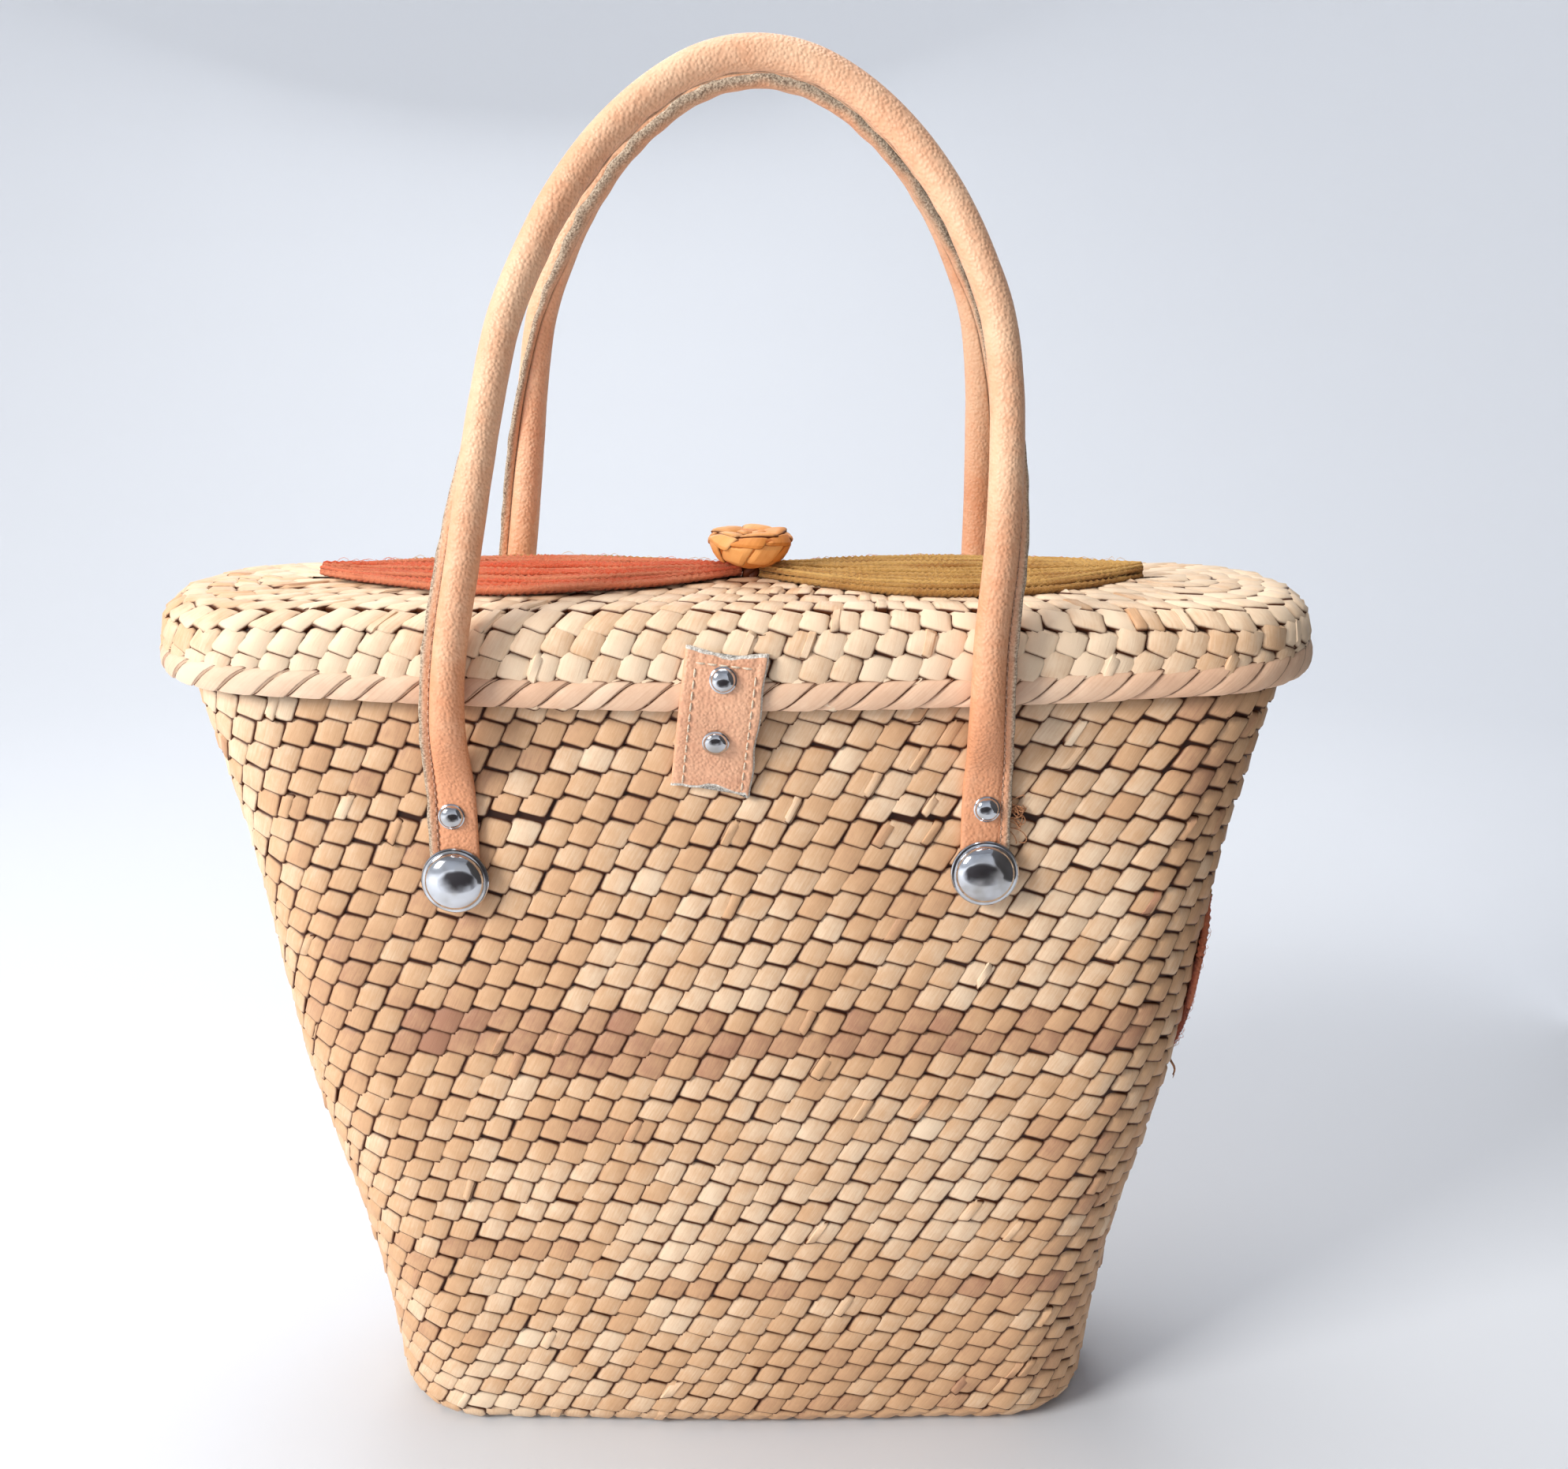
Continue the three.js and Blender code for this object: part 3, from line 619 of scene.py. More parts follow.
def palm_finish(name, cream=leaf_cream, straw=leaf_straw, tan=leaf_tan, edge=leaf_edge_brown_and_shade):
    """Dried palm leaf: fine fibres along the strip, cloudy patches, and pad rims darkened partly as
    browner worn leaf and partly as painted shade of the gaps between pads.
    """
    palm = Finish(name)
    across_leaf, along_leaf = palm.uv()
    leaf_id, tone_value = palm.attribute("leaf"), palm.attribute("tone")
    fibre_place = palm.vector(across_leaf * 16 + leaf_id * 40, along_leaf * 1.1, leaf_id * 90)
    fibres = palm.noise(fibre_place, 1.0, 3, 0.65)
    clouds = palm.noise(palm.place(), 160.0, 3, 0.6)
    wide_clouds = palm.noise(palm.place(), 14.0, 2, 0.5)
    side = abs(across_leaf - 0.5) * 2
    end = abs(along_leaf - 0.5) * 2
    # Dark rims of each pad: partly browner worn leaf, partly painted shade of the gaps between pads
    worn = side ** 8 + end ** 8
    shade = tone_value + (fibres - 0.5) * 0.5 + (clouds - 0.5) * 0.5 + (wide_clouds - 0.5) * 1.1
    pale = palm.mix(shade.step(-0.05, 0.65), cream, straw)
    darker = palm.mix(shade.step(0.5, 1.25), pale, tan)
    outlined_wear_and_shade = palm.mix((worn * (0.5 + clouds)).step(0.1, 0.75), darker, edge)
    # Painted shade: the lining behind the pads takes a dark brown, standing for the shade in the gaps
    colour = palm.mix(tone_value.step(1.4, 1.5), outlined_wear_and_shade, lining_painted_shade)
    palm.set(Base_Color=colour, Roughness=0.42 + fibres * 0.2, Specular_IOR_Level=0.36)
    palm.bump(fibres * 0.5 + clouds * 0.5, 0.0004, 0.5)
    return palm.material


palm_leaf = palm_finish("palm_leaf")
basket_body.data.materials.append(palm_leaf)
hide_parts("basket_body")
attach(basket_body, "root")


# Lid: a cap of the same plaiting that slips over the mouth. Its pads are squarer and more
# rounded, they climb round the soft shoulder and close in towards the ridge of the top.
lid_width, lid_depth, lid_corner = 417, 105, 40
shoulder_height, shoulder_radius, lid_crown = 318, 13, 2
lid_ridge = lid_depth / 2 - 2
shoulder_length = shoulder_radius * math.pi / 2


def lid_outline(inset):
    depth = lid_depth / 2 - inset
    share = np.maximum(depth, 0) / (lid_depth / 2)
    return Outline(
        lid_width / 2 - inset, depth, np.maximum(lid_corner - inset, 0.8 * depth),
        front_bow * share, end_bow * share,
    )


def lid_level(climb):
    """Height and inset of a place climb millimetres above the foot of the shoulder."""
    turn = np.clip(climb / shoulder_radius, 0, math.pi / 2)
    beyond = np.maximum(climb - shoulder_length, 0)
    share = np.minimum(beyond / (lid_ridge - shoulder_radius), 1)
    z = shoulder_height + np.minimum(climb, 0) + shoulder_radius * np.sin(turn)
    inset = np.minimum(shoulder_radius * (1 - np.cos(turn)) + beyond, lid_ridge + 0.6)
    return z + lid_crown * (1 - (1 - share) ** 2), inset


def lid_surface(place, climb):
    z, inset = lid_level(climb)
    x, y = lid_outline(inset).at(place)
    return np.stack([x, y, z + 0 * x], -1)


lid_pitch, lid_rise = 10.2, 8.8
rows = [
    row_of_pads(i, climb, 0.2, lid_outline(lid_level(np.array(climb))[1]), lid_pitch, lid_rise)
    for i, climb in enumerate(np.arange(-15, 60, lid_rise))
]
lid_pads = np.concatenate(rows)
rim_lowest, rim_end_rise = 296.8, 8
foot = lid_surface(lid_pads[:, 0], lid_pads[:, 1])
rim_foot = rim_lowest + rim_end_rise * (foot[:, 0] / (lid_width / 2)) ** 2
lid_pads = lid_pads[foot[:, 2] - lid_rise * 0.6 > rim_foot]
across, up = leaf_sizes(lid_pads, -0.38, 0.38, 1.01, 1.15, 0.045)
pad = shape_pad(0.5, 0.22, 0.86, 0.5)
jitter = leaf_random.normal(0, 0.3, (len(lid_pads), 2))
pad_places = lid_pads[:, 0] + jitter[:, 0] / lid_pads[:, 2]
pad_climbs = lid_pads[:, 1] + jitter[:, 1]
lift = leaf_random.normal(0, 0.15, len(lid_pads))
tone = np.clip(leaf_random.normal(0.14, 0.12, len(lid_pads)), 0, 1)
tone += 0.22 * np.clip(-lid_surface(pad_places, pad_climbs)[:, 0] / 60 - 2.4, 0, 1)
laid = with_splices(lid_pads, pad_places, pad_climbs, across, up, lift, lift * 0, tone, 0.14)
lining_climbs = [-12, -6, 0, 4, 8, 12, 16, shoulder_length, 30, 40, 50, 57]
lining = np.concatenate(
    lining_rings(lid_surface, lining_climbs[::-1], lining_in)
    + lining_rings(lid_surface, lining_climbs, lining_out)
)
lid_palm = plaited("lid_palm", lid_surface, laid, pad, lining)
lid_palm.data.materials.append(palm_leaf)
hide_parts("lid")
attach(lid_palm, "root")


# Rim of the lid: a bundle of leaf wound slantwise with wide flat strips, each lapped over
# the next, fixed along the lower edge of the lid.
rim_thickness, rim_height, rim_outset = 5.5, 10.5, 1.5
rim_wraps, rim_turns, rim_slant = 80, 16, 3
wrap_profile = ((0.0, -0.65), (0.08, -0.1), (0.4, 0.3), (0.8, 0.42), (0.97, 0.2))
wrap_random = np.random.default_rng(11)
turn = np.arange(rim_turns) / rim_turns * 2 * math.pi - math.pi / 2
round_share = np.arange(rim_turns) / rim_turns
wrap_shift = wrap_random.normal(0, 0.09, rim_wraps)
wrap_lift = wrap_random.normal(0, 0.14, rim_wraps)
counts = (rim_wraps, len(wrap_profile), rim_turns)
wrap, step, lap = np.meshgrid(*(np.arange(count) for count in counts), indexing="ij")
share_across = np.array([p[0] for p in wrap_profile])[step]
bulge = np.array([p[1] for p in wrap_profile])[step] + wrap_lift[wrap] * (share_across > 0.05)
loose = wrap_shift[wrap] * (1 - share_across) + wrap_shift[(wrap + 1) % rim_wraps] * share_across
rim_place = 4 * (wrap + share_across + loose + rim_slant * round_share[lap]) / rim_wraps
side_out = np.sign(np.cos(turn)) * abs(np.cos(turn)) ** 0.75
rim_inset = rim_thickness / 2 - rim_outset - (rim_thickness / 2 + bulge) * side_out[lap]
x, y = lid_outline(rim_inset).at(rim_place)
rim_middle = rim_lowest + rim_end_rise * (x / (lid_width / 2)) ** 2 + rim_height / 2
z = rim_middle + (rim_height / 2 + bulge * 0.6) * np.sin(turn)[lap]
rim_points = np.stack([x, y, z], -1).reshape(-1, 3)

# One turn round the bundle carries a strip on by a few widths
rim_faces = []
rim_rings = rim_wraps * len(wrap_profile)
onward = rim_slant * len(wrap_profile)
for k in range(rim_rings):
    here, there = k * rim_turns, (k + 1) % rim_rings * rim_turns
    for a in range(rim_turns - 1):
        rim_faces.append([here + a, there + a, there + a + 1, here + a + 1])
    last = rim_turns - 1
    rim_faces.append([
        here + last, there + last,
        (k + 1 + onward) % rim_rings * rim_turns, (k + onward) % rim_rings * rim_turns,
    ])
wrap_tone = np.clip(wrap_random.normal(0.42, 0.13, rim_wraps), 0, 1)
rim_binding = mesh_piece(
    "lid_rim_binding_palm", rim_points, rim_faces,
    np.stack([share_across.ravel(), (round_share[lap] * 2.2).ravel()], -1),
    {"tone": wrap_tone[wrap].ravel(), "leaf": wrap_random.uniform(0, 1, rim_wraps)[wrap].ravel()}, 35,
)
wrap_leaf = palm_finish("palm_wrap", (0.98, 0.85, 0.73), (0.9, 0.73, 0.6), (0.74, 0.54, 0.43))
rim_binding.data.materials.append(wrap_leaf)
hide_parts("lid_rim_binding")
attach(rim_binding, "root")


# Handles: a strip of pale vegetable-tanned leather rolled into a tube and sewn along one
# side, so that its two cut edges stand up as a flange. The flange faces outwards at the feet
# and turns under towards the top, where it ruffles. Each end is pressed flat as a strap.
handle_apex, handle_spread, handle_lean = 507, 186, 8
stud_leans = {"front": -5.58, "back": 1.49}
back_handle_wider = 1.02
tube_radius, strap_half_thickness = 5.7, 1.8
strap_below_stud, rivet_above_stud, roll_length = 8, 23.5, 45
apex_inset = 26
stud_heights = (234.81, 237.6)
strap_to_rivet = strap_below_stud + rivet_above_stud
rivet_radius = 4.7
roll_from = strap_to_rivet + 2 * rivet_radius
handle_route = (
    # rise from stud to apex, spread, lean and way inwards, all as shares
    (0.215, 0.98, 0, 0), (0.31, 0.965, 0.1, 0), (0.42, 0.946, 0.4, 0.02), (0.52, 0.925, 0.62, 0.1),
    (0.61, 0.9, 0.78, 0.25), (0.7, 0.853, 0.88, 0.42), (0.775, 0.768, 0.93, 0.58),
    (0.84, 0.668, 0.96, 0.72), (0.905, 0.525, 0.98, 0.85), (0.958, 0.35, 1, 0.94), (0.99, 0.175, 1, 0.985),
)


def smooth(value, low, high):
    t = np.clip((np.asarray(value, float) - low) / (high - low), 0, 1)
    return t * t * (3 - 2 * t)


def front_of(outline, x):
    """Half depth of an outline at a distance x from its middle."""
    over = abs(x) - outline.straight_x
    if over > 0:
        return float(outline.straight_y + math.sqrt(max(0, float(outline.radius) ** 2 - over**2)))
    arch = (1 + math.cos(math.pi * x / outline.straight_x)) / 2
    return float(outline.straight_y + outline.radius + outline.bow_front * arch)


def handle_stops(face):
    """Points that a handle runs through, from the left foot to the right one, as on the back."""
    half = handle_spread / 2 * (back_handle_wider if face == "back" else 1)
    lid_front = front_of(lid_outline(-rim_outset), half) + 0.3 + tube_radius
    legs = []
    for sign, stud_height in zip((-1, 1), stud_heights):
        points = []
        for rise in (0, strap_below_stud, strap_to_rivet, roll_from, roll_from + 6):
            z = stud_height - strap_below_stud + rise
            x = sign * half + stud_leans[face]
            rolled = float(smooth(rise, roll_from, roll_from + roll_length))
            thick = strap_half_thickness + (tube_radius - strap_half_thickness) * rolled
            seat = front_of(body_outline(z), x) + 0.3 + thick
            bridge = float(smooth(rise, roll_from, roll_from + 30))
            points.append((x, seat + (lid_front - seat) * bridge, z))
        for rise, spread, lean, inward in handle_route:
            points.append((
                sign * spread * half + stud_leans[face] + (handle_lean - stud_leans[face]) * lean,
                lid_front + (apex_inset - lid_front) * inward,
                stud_height + rise * (handle_apex - stud_height),
            ))
        legs.append(points)
    return np.array(legs[0] + [(handle_lean, apex_inset, handle_apex)] + legs[1][::-1])


def flowing(stops, count):
    """Evenly spaced points on a curve through the stops, and its length."""
    ends = np.concatenate([[2 * stops[0] - stops[1]], stops, [2 * stops[-1] - stops[-2]]])
    t = np.linspace(0, 1, 30, endpoint=False)[:, None]
    drawn = []
    for p0, p1, p2, p3 in zip(ends[:-3], ends[1:-2], ends[2:-1], ends[3:]):
        pairs = ((p0, p1), (p1, p2), (p2, p3))
        d0, d1, d2 = (max(np.linalg.norm(b - a), 1e-6) ** 0.5 for a, b in pairs)
        t1 = d1 * ((p1 - p0) / d0 - (p2 - p0) / (d0 + d1) + (p2 - p1) / d1)
        t2 = d1 * ((p2 - p1) / d1 - (p3 - p1) / (d1 + d2) + (p3 - p2) / d2)
        square, cube = 3 * (p2 - p1) - 2 * t1 - t2, 2 * (p1 - p2) + t1 + t2
        drawn.append(p1 + t1 * t + square * t**2 + cube * t**3)
    drawn = np.concatenate([*drawn, [stops[-1]]])
    gone = np.concatenate([[0], np.cumsum(np.linalg.norm(np.diff(drawn, axis=0), axis=1))])
    even = np.linspace(0, gone[-1], count)
    return np.stack([np.interp(even, gone, drawn[:, i]) for i in range(3)], -1), gone[-1]


def unit(vectors):
    return vectors / np.maximum(np.linalg.norm(vectors, axis=-1, keepdims=True), 1e-9)


def tubes(lines, radii, sides, shape=None):
    """Points and faces of round strands along many lines of equally many points."""
    lines = np.asarray(lines, float)
    tangent = unit(np.gradient(lines, axis=1))
    helper = np.where(abs(tangent[..., 2:3]) > 0.9, (1.0, 0, 0), (0, 0, 1.0))
    side = unit(np.cross(tangent, helper))
    over = np.cross(side, tangent)
    angle = np.arange(sides) / sides * 2 * math.pi
    reach = np.broadcast_to(np.asarray(radii, float), lines.shape[:2])[..., None]
    if shape is not None:
        reach = reach * shape(angle, np.arange(lines.shape[1])[:, None])
    else:
        reach = np.broadcast_to(reach, (*lines.shape[:2], sides))
    reach = reach[..., None]
    ring = lines[:, :, None, :] + reach * np.cos(angle)[:, None] * side[:, :, None, :]
    ring = ring - reach * np.sin(angle)[:, None] * over[:, :, None, :]
    per = lines.shape[1] * sides
    faces = [face[::-1] for face in loft_faces(lines.shape[1], sides)]
    return many(ring.reshape(len(lines), per, 3), faces)


def squared_off(value, power):
    """Makes a round section flatter: the power of a share, with its sign."""
    return np.sign(value) * abs(value) ** power


round_angles = np.linspace(0.3, 2 * math.pi - 0.3, 19)
flange_tube = np.array([(9.1, 0.75), (8.8, 1.05), (7.5, 1.12), (6.25, 0.98), (5.65, 0.72)])
flange_under = np.array([  # distance from the tube's middle and angle, once it is folded under
    (6.1, 0.72), (5.98, 0.66), (5.92, 0.5), (5.85, 0.36), (5.7, 0.24),
    (5.85, -0.12), (6.75, -0.08), (7.75, 0.16), (7.95, 0.5), (7.75, 0.68), (6.95, 0.76),
])
flange_strap = np.array([(8.55, 1.25), (8.2, 1.6), (7.0, 1.75), (5.7, 1.6), (5.15, 1.1)])
strap_middle, strap_half_width = -1.8, 6.8
tube_section = np.concatenate([
    flange_tube, tube_radius * np.stack([np.cos(round_angles), np.sin(round_angles)], -1),
    flange_tube[::-1] * (1, -1), [(8.95, 0)],
])
under_section = tube_section.copy()
under_section[[*range(5), *range(24, 30)]] = flange_under[:, :1] * np.stack(
    [np.cos(flange_under[:, 1]), np.sin(flange_under[:, 1])], -1
)
strap_section = np.concatenate([
    flange_strap,
    np.stack([
        strap_middle + strap_half_width * squared_off(np.cos(round_angles), 0.6),
        strap_half_thickness * squared_off(np.sin(round_angles), 0.5),
    ], -1),
    flange_strap[::-1] * (1, -1), [(8.35, 0)],
])
flange_share = np.concatenate([[1, 1, 0.7, 0.4, 0.1], np.zeros(19), [0.1, 0.4, 0.7, 1, 1], [1]])
raw_share = np.concatenate([[1, 0.8, 0.5, 0.4, 0.6], np.zeros(19), [0.6, 0.4, 0.5, 0.8, 1], [1.15]])
handle_sections, stitch_spacing = 521, 3.1
handle_random = np.random.default_rng(5)
fasteners = []
handle_pieces = {}
stitch_lines = {}
for face, side in (("front", -1), ("back", 1)):
    line, length = flowing(handle_stops(face), handle_sections)
    tangent = unit(np.gradient(line, axis=0))
    outward = unit(np.cross(tangent, (0, 1, 0)))
    away = unit(np.cross(outward, tangent))
    share = np.linspace(0, 1, handle_sections)
    from_end = np.minimum(share, 1 - share)
    rolled = smooth(from_end * length, strap_to_rivet - 6, roll_from + roll_length * 1.1)[:, None, None]
    turn = (0.65 - math.pi) * smooth(from_end, 0.14, 0.42)
    ruffled = smooth(from_end, 0.24, 0.4)
    folded = ruffled[:, None, None]
    rolled_section = tube_section[None] * (1 - folded) + under_section[None] * folded
    section = strap_section[None] * (1 - rolled) + rolled_section * rolled
    wave = sum(
        np.sin(share * length / step + handle_random.uniform(0, 6)) * size
        for step, size in ((1.7, 0.35), (2.6, 0.45), (4.9, 0.3))
    )
    ruffle_aside, ruffle_out = ruffled * wave, ruffled * (abs(np.roll(wave, 17)) - 0.8 * wave)
    section[:, :, 1] += ruffle_aside[:, None] * flange_share * 0.62
    section[:, :, 0] += ruffle_out[:, None] * flange_share * 0.5
    under = np.concatenate([np.zeros(5), np.clip(np.cos(round_angles), 0, 1), np.zeros(6)])
    section[:, :, 0] += (ruffled * np.roll(wave, 33))[:, None] * under * 0.45
    section[:, :, 0] += (np.roll(wave, 55) * 0.25)[:, None] * (flange_share > 0.9)
    cos, sin = np.cos(turn)[:, None], np.sin(turn)[:, None]
    p = section[:, :, 0] * cos - section[:, :, 1] * sin
    q = section[:, :, 0] * sin + section[:, :, 1] * cos
    rings = line[:, None] + p[..., None] * outward[:, None] + q[..., None] * away[:, None]
    rings[..., 1] *= side
    count = section.shape[1]
    faces = loft_faces(handle_sections, count)
    if side < 0:
        faces = [f[::-1] for f in faces]
    around_share = np.concatenate([np.zeros(5), np.linspace(0, 1, 19), np.ones(6)])
    uv = np.stack([np.tile(around_share * 30, handle_sections), np.repeat(share * length, count)], -1)
    handle = mesh_piece(
        f"handle_{face}_leather", rings.reshape(-1, 3), faces, uv,
        {
            "raw": np.tile(raw_share, handle_sections),
            "crease": np.tile((flange_share > 0) & (flange_share < 0.2), handle_sections).astype(float),
            "near_feet": np.repeat(1 - smooth(from_end * length, 25, 165), count),
        }, 60,
    )
    handle_pieces[face] = handle
    # Stitches sit in the crease, on the side that looks away from the bag at the feet
    stitches = np.arange(strap_below_stud + 4, length - strap_below_stud - 4, stitch_spacing)
    at = stitches / length
    lines_here = []
    for offset in (-0.42, -0.2, 0, 0.2, 0.42):
        where = at + offset * stitch_spacing * 0.72 / length
        rise = 0.55 * (1 - (offset / 0.42) ** 2) - 0.18
        root = np.stack([np.interp(where, share, line[:, i]) for i in range(3)], -1)
        out_here = unit(np.stack([np.interp(where, share, outward[:, i]) for i in range(3)], -1))
        away_here = unit(np.stack([np.interp(where, share, away[:, i]) for i in range(3)], -1))
        flat = 1 - np.interp(where, share, rolled[:, 0, 0])
        turn_here = np.interp(where, share, turn)[:, None]
        along = (5.85 - 0.55 * flat)[:, None]
        high = (0.85 + 0.4 * flat + rise)[:, None]
        spot = root + (along * np.cos(turn_here) - high * np.sin(turn_here)) * out_here
        spot = spot + (along * np.sin(turn_here) + high * np.cos(turn_here)) * away_here
        lines_here.append(spot * (1, side, 1))
    stitch_lines[face] = np.stack(lines_here, 1)
    for hand in ("left", "right"):
        for kind, distance in (("stud", strap_below_stud), ("rivet", strap_to_rivet)):
            where = distance / length if hand == "left" else 1 - distance / length
            centre = np.array([np.interp(where, share, line[:, i]) for i in range(3)])
            direction = unit(np.array([np.interp(where, share, away[:, i]) for i in range(3)]))
            rolled_here = float(smooth(distance, roll_from, roll_from + roll_length))
            thick = strap_half_thickness + (tube_radius - strap_half_thickness) * rolled_here
            centre = centre + direction * thick
            mirror = np.array((1, side, 1))
            fasteners.append((f"{kind}_{face}_{hand}", kind, centre * mirror, direction * mirror))


def leather_finish(name, pale, deep, worn, cut=(0.78, 0.68, 0.57)):
    """Vegetable-tanned leather: pebbled grain, soft blotches, darker towards the feet of a handle, cut
    edges with raw grey suede, and painted shade in the crease at the foot of the flange.
    """
    hide = Finish(name)
    spot = hide.place()
    pebbles = {"Vector": spot, "Scale": 820.0, "Smoothness": 0.5}
    pebble = hide.node("ShaderNodeTexVoronoi", {"feature": "SMOOTH_F1"}, pebbles)["Distance"]
    creases = hide.noise(spot, 260.0, 3, 0.55)
    clouds = hide.noise(spot, 32.0, 3, 0.55)
    raw = hide.attribute("raw")
    suede = hide.noise(spot, 1500.0, 2, 0.6)
    crease = hide.attribute("crease")
    grain = 1.0 - pebble.step(0.1, 0.8)
    # Darker towards the feet of the handles
    darker_near_feet = hide.attribute("near_feet")
    skin = hide.mix((clouds * 0.8 + creases * 0.5 - darker_near_feet * 0.5).step(0.15, 0.95), deep, pale)
    skin = hide.mix((1.0 - grain) * 0.05, skin, deep)
    edge = hide.mix(suede.step(0.3, 0.7), worn, cut)
    colour = hide.mix((raw * 1.15 + (clouds - 0.5) * 0.5).step(0.35, 0.95), skin, edge)
    # Painted shade: the crease where the flange meets the tube is darkened
    colour = hide.mix(crease * 0.75, colour, (0.3, 0.19, 0.13))
    roughness = 0.4 + raw * 0.45 + (1.0 - grain) * 0.15
    hide.set(Base_Color=colour, Roughness=roughness, Specular_IOR_Level=0.5)
    hide.bump(grain * 0.55 + creases * 0.35 + raw * suede * 0.6, 0.0006, 0.65)
    return hide.material


handle_leather = leather_finish(
    "handle_leather", (0.98, 0.8, 0.65), (0.9, 0.62, 0.45), (0.5, 0.42, 0.35), (0.84, 0.76, 0.66)
)
for face, handle in handle_pieces.items():
    handle.data.materials.append(handle_leather)
    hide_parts(f"handle_{face}")
    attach(handle, "root")

thread = Finish("waxed_thread")
ply = thread.noise(thread.place(), 2600.0, 1, 0.5)
thread.bump(ply, 0.0002, 0.6)
thread_tone = thread.mix(ply.step(0.3, 0.7), (0.72, 0.52, 0.42), (0.88, 0.72, 0.6))
waxed_thread = thread.set(Base_Color=thread_tone, Roughness=0.6)
for face, lines in stitch_lines.items():
    points, faces = tubes(lines, np.array([0.18, 0.34, 0.4, 0.34, 0.18]), 5)
    stitching = mesh_piece(f"handle_{face}_stitches", points, faces)
    stitching.data.materials.append(waxed_thread)
    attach(stitching, "root")


# Studs and rivets: pressed caps of bright chromed steel with a narrow flat rim, clinched
# through the strap and the basket wall. They are turned shapes, spun from half a profile.
def turned(name, profile, place, direction, steps=48):
    """A spun solid from (radius, height) pairs in millimetres, standing on place."""
    piece = spun(name, [(r * mm, h * mm) for r, h in profile], steps)
    z = unit(np.asarray(direction, float))
    x = unit(np.cross((0, 1, 0.001) if abs(z[2]) > 0.9 else (0, 0, 1), z))
    y = np.cross(z, x)
    rows = [(x[i], y[i], z[i], place[i] * mm) for i in range(3)] + [(0, 0, 0, 1)]
    piece.data.transform(Matrix(rows))
    bpy.ops.object.shade_smooth_by_angle(angle=math.radians(35))
    return piece


stud_profile = [(0, 0), (11.9, 0), (12, 0.25), (11.95, 0.9), (11.6, 1.3), (10.9, 1.35), (10.5, 1.6)] + [
    (10.4 * math.cos(a), 1.8 + 4.4 * math.sin(a)) for a in np.linspace(0.06, math.pi / 2, 14)[:-1]
] + [(0, 6.2)]
rivet_profile = [(0, 0), (4.6, 0), (rivet_radius, 0.2), (4.62, 0.6), (4.35, 0.8), (4.15, 0.9)] + [
    (4.05 * math.cos(a), 1.0 + 2.0 * math.sin(a)) for a in np.linspace(0.1, math.pi / 2, 9)[:-1]
] + [(0, 3.0)]

chrome = Finish("chrome")
scratches = chrome.noise(chrome.place(), 900.0, 3, 0.7)
haze = chrome.noise(chrome.place(), 120.0, 2, 0.5)
chrome.bump(scratches, 0.00004, 0.25)
chrome_steel = chrome.set(
    Base_Color=chrome.mix(haze.step(0.35, 0.75), (0.86, 0.87, 0.89), (0.7, 0.69, 0.68)), Metallic=1.0,
    Roughness=0.08 + haze * 0.08,
)
for name, kind, place, direction in fasteners:
    profile = stud_profile if kind == "stud" else rivet_profile
    fastener = turned(f"{name}_cap", profile, place, direction)
    fastener.data.materials.append(chrome_steel)
    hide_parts(name)
    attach(fastener, "root")


# Tab that hinges the lid: one piece of leather folded along its left side, sewn on the other
# three through both layers, with raw pale edges, riveted once to the lid and once to the body.
tab_width, tab_half_thickness = 27.4, 1.2
tab_top, tab_bottom, tab_top_centre, tab_slant, tab_lift = 318.3, 268, -2.2, 6.4, 1.6
tab_rivet_heights = (309, 286.4)
tab_bend = tab_rivet_heights[1] - 2 * rivet_radius
tab_tilt = math.tan(math.radians(6.6))
tab_foot = front_of(body_outline(tab_bottom), 0)
tab_stops = np.array([
    (tab_bottom - 3, tab_foot), (tab_bottom, tab_foot),
    (tab_bend, front_of(body_outline(tab_bend), 0) + tab_lift),
    (rim_lowest, lid_depth / 2 + rim_outset), (rim_lowest + rim_height, lid_depth / 2 + rim_outset),
    (tab_top, lid_depth / 2), (tab_top + 3, lid_depth / 2),
]) + (0, 0.3 + tab_half_thickness)


def tab_depth(z):
    """Distance of the tab's middle layer in front of the bag's middle, rounded at its bends."""
    near = [z + step for step in (-1.6, -0.8, 0, 0.8, 1.6)]
    return sum(np.interp(level, tab_stops[:, 0], tab_stops[:, 1]) for level in near) / len(near)


def tab_middle(z):
    return tab_top_centre - tab_slant * (tab_top - z) / (tab_top - tab_bottom)


def tab_point(a, z, out):
    """A place on the tab: a across from its middle, z up, out from its middle layer."""
    height = z - a * tab_tilt
    x = tab_middle(z) + a
    return np.stack([x, -(tab_depth(height) + out), height], -1)


tab_rows = 44
fold = np.linspace(math.pi / 2, 3 * math.pi / 2, 7)[1:-1]
half = tab_width / 2
seam_right, seam_left, seam_dent = 10.7, -9.7, 0.3
front_across = np.array([
    half - 0.5, 12.3, 11.3, seam_right, 10.1, 8, 5, 2, -1, -4, -7, -9, seam_left, -10.3, -11.2, -12.2,
])
dents = {seam_right: -seam_dent, seam_left: -seam_dent}
section = [(half - 0.1, 0.85)] + [(a, tab_half_thickness + dents.get(a, 0)) for a in front_across]
section += [(-half + 1.2 + 1.2 * math.cos(t), tab_half_thickness * math.sin(t)) for t in fold]
section += [(a, -tab_half_thickness) for a in (-12, -6, 0, 6, 11, half - 0.3)]
section += [(half + 0.35, -1.0), (half + 0.3, -0.25), (half - 0.5, 0.0), (half - 0.05, 0.25)]
section = np.array(section)
cut_edge = [0.6, 1, 1, 0.8, 1]
edge_flags = np.array([1] + [0] * (len(section) - len(cut_edge) - 1) + cut_edge)
a, out = section[:, 0], section[:, 1]
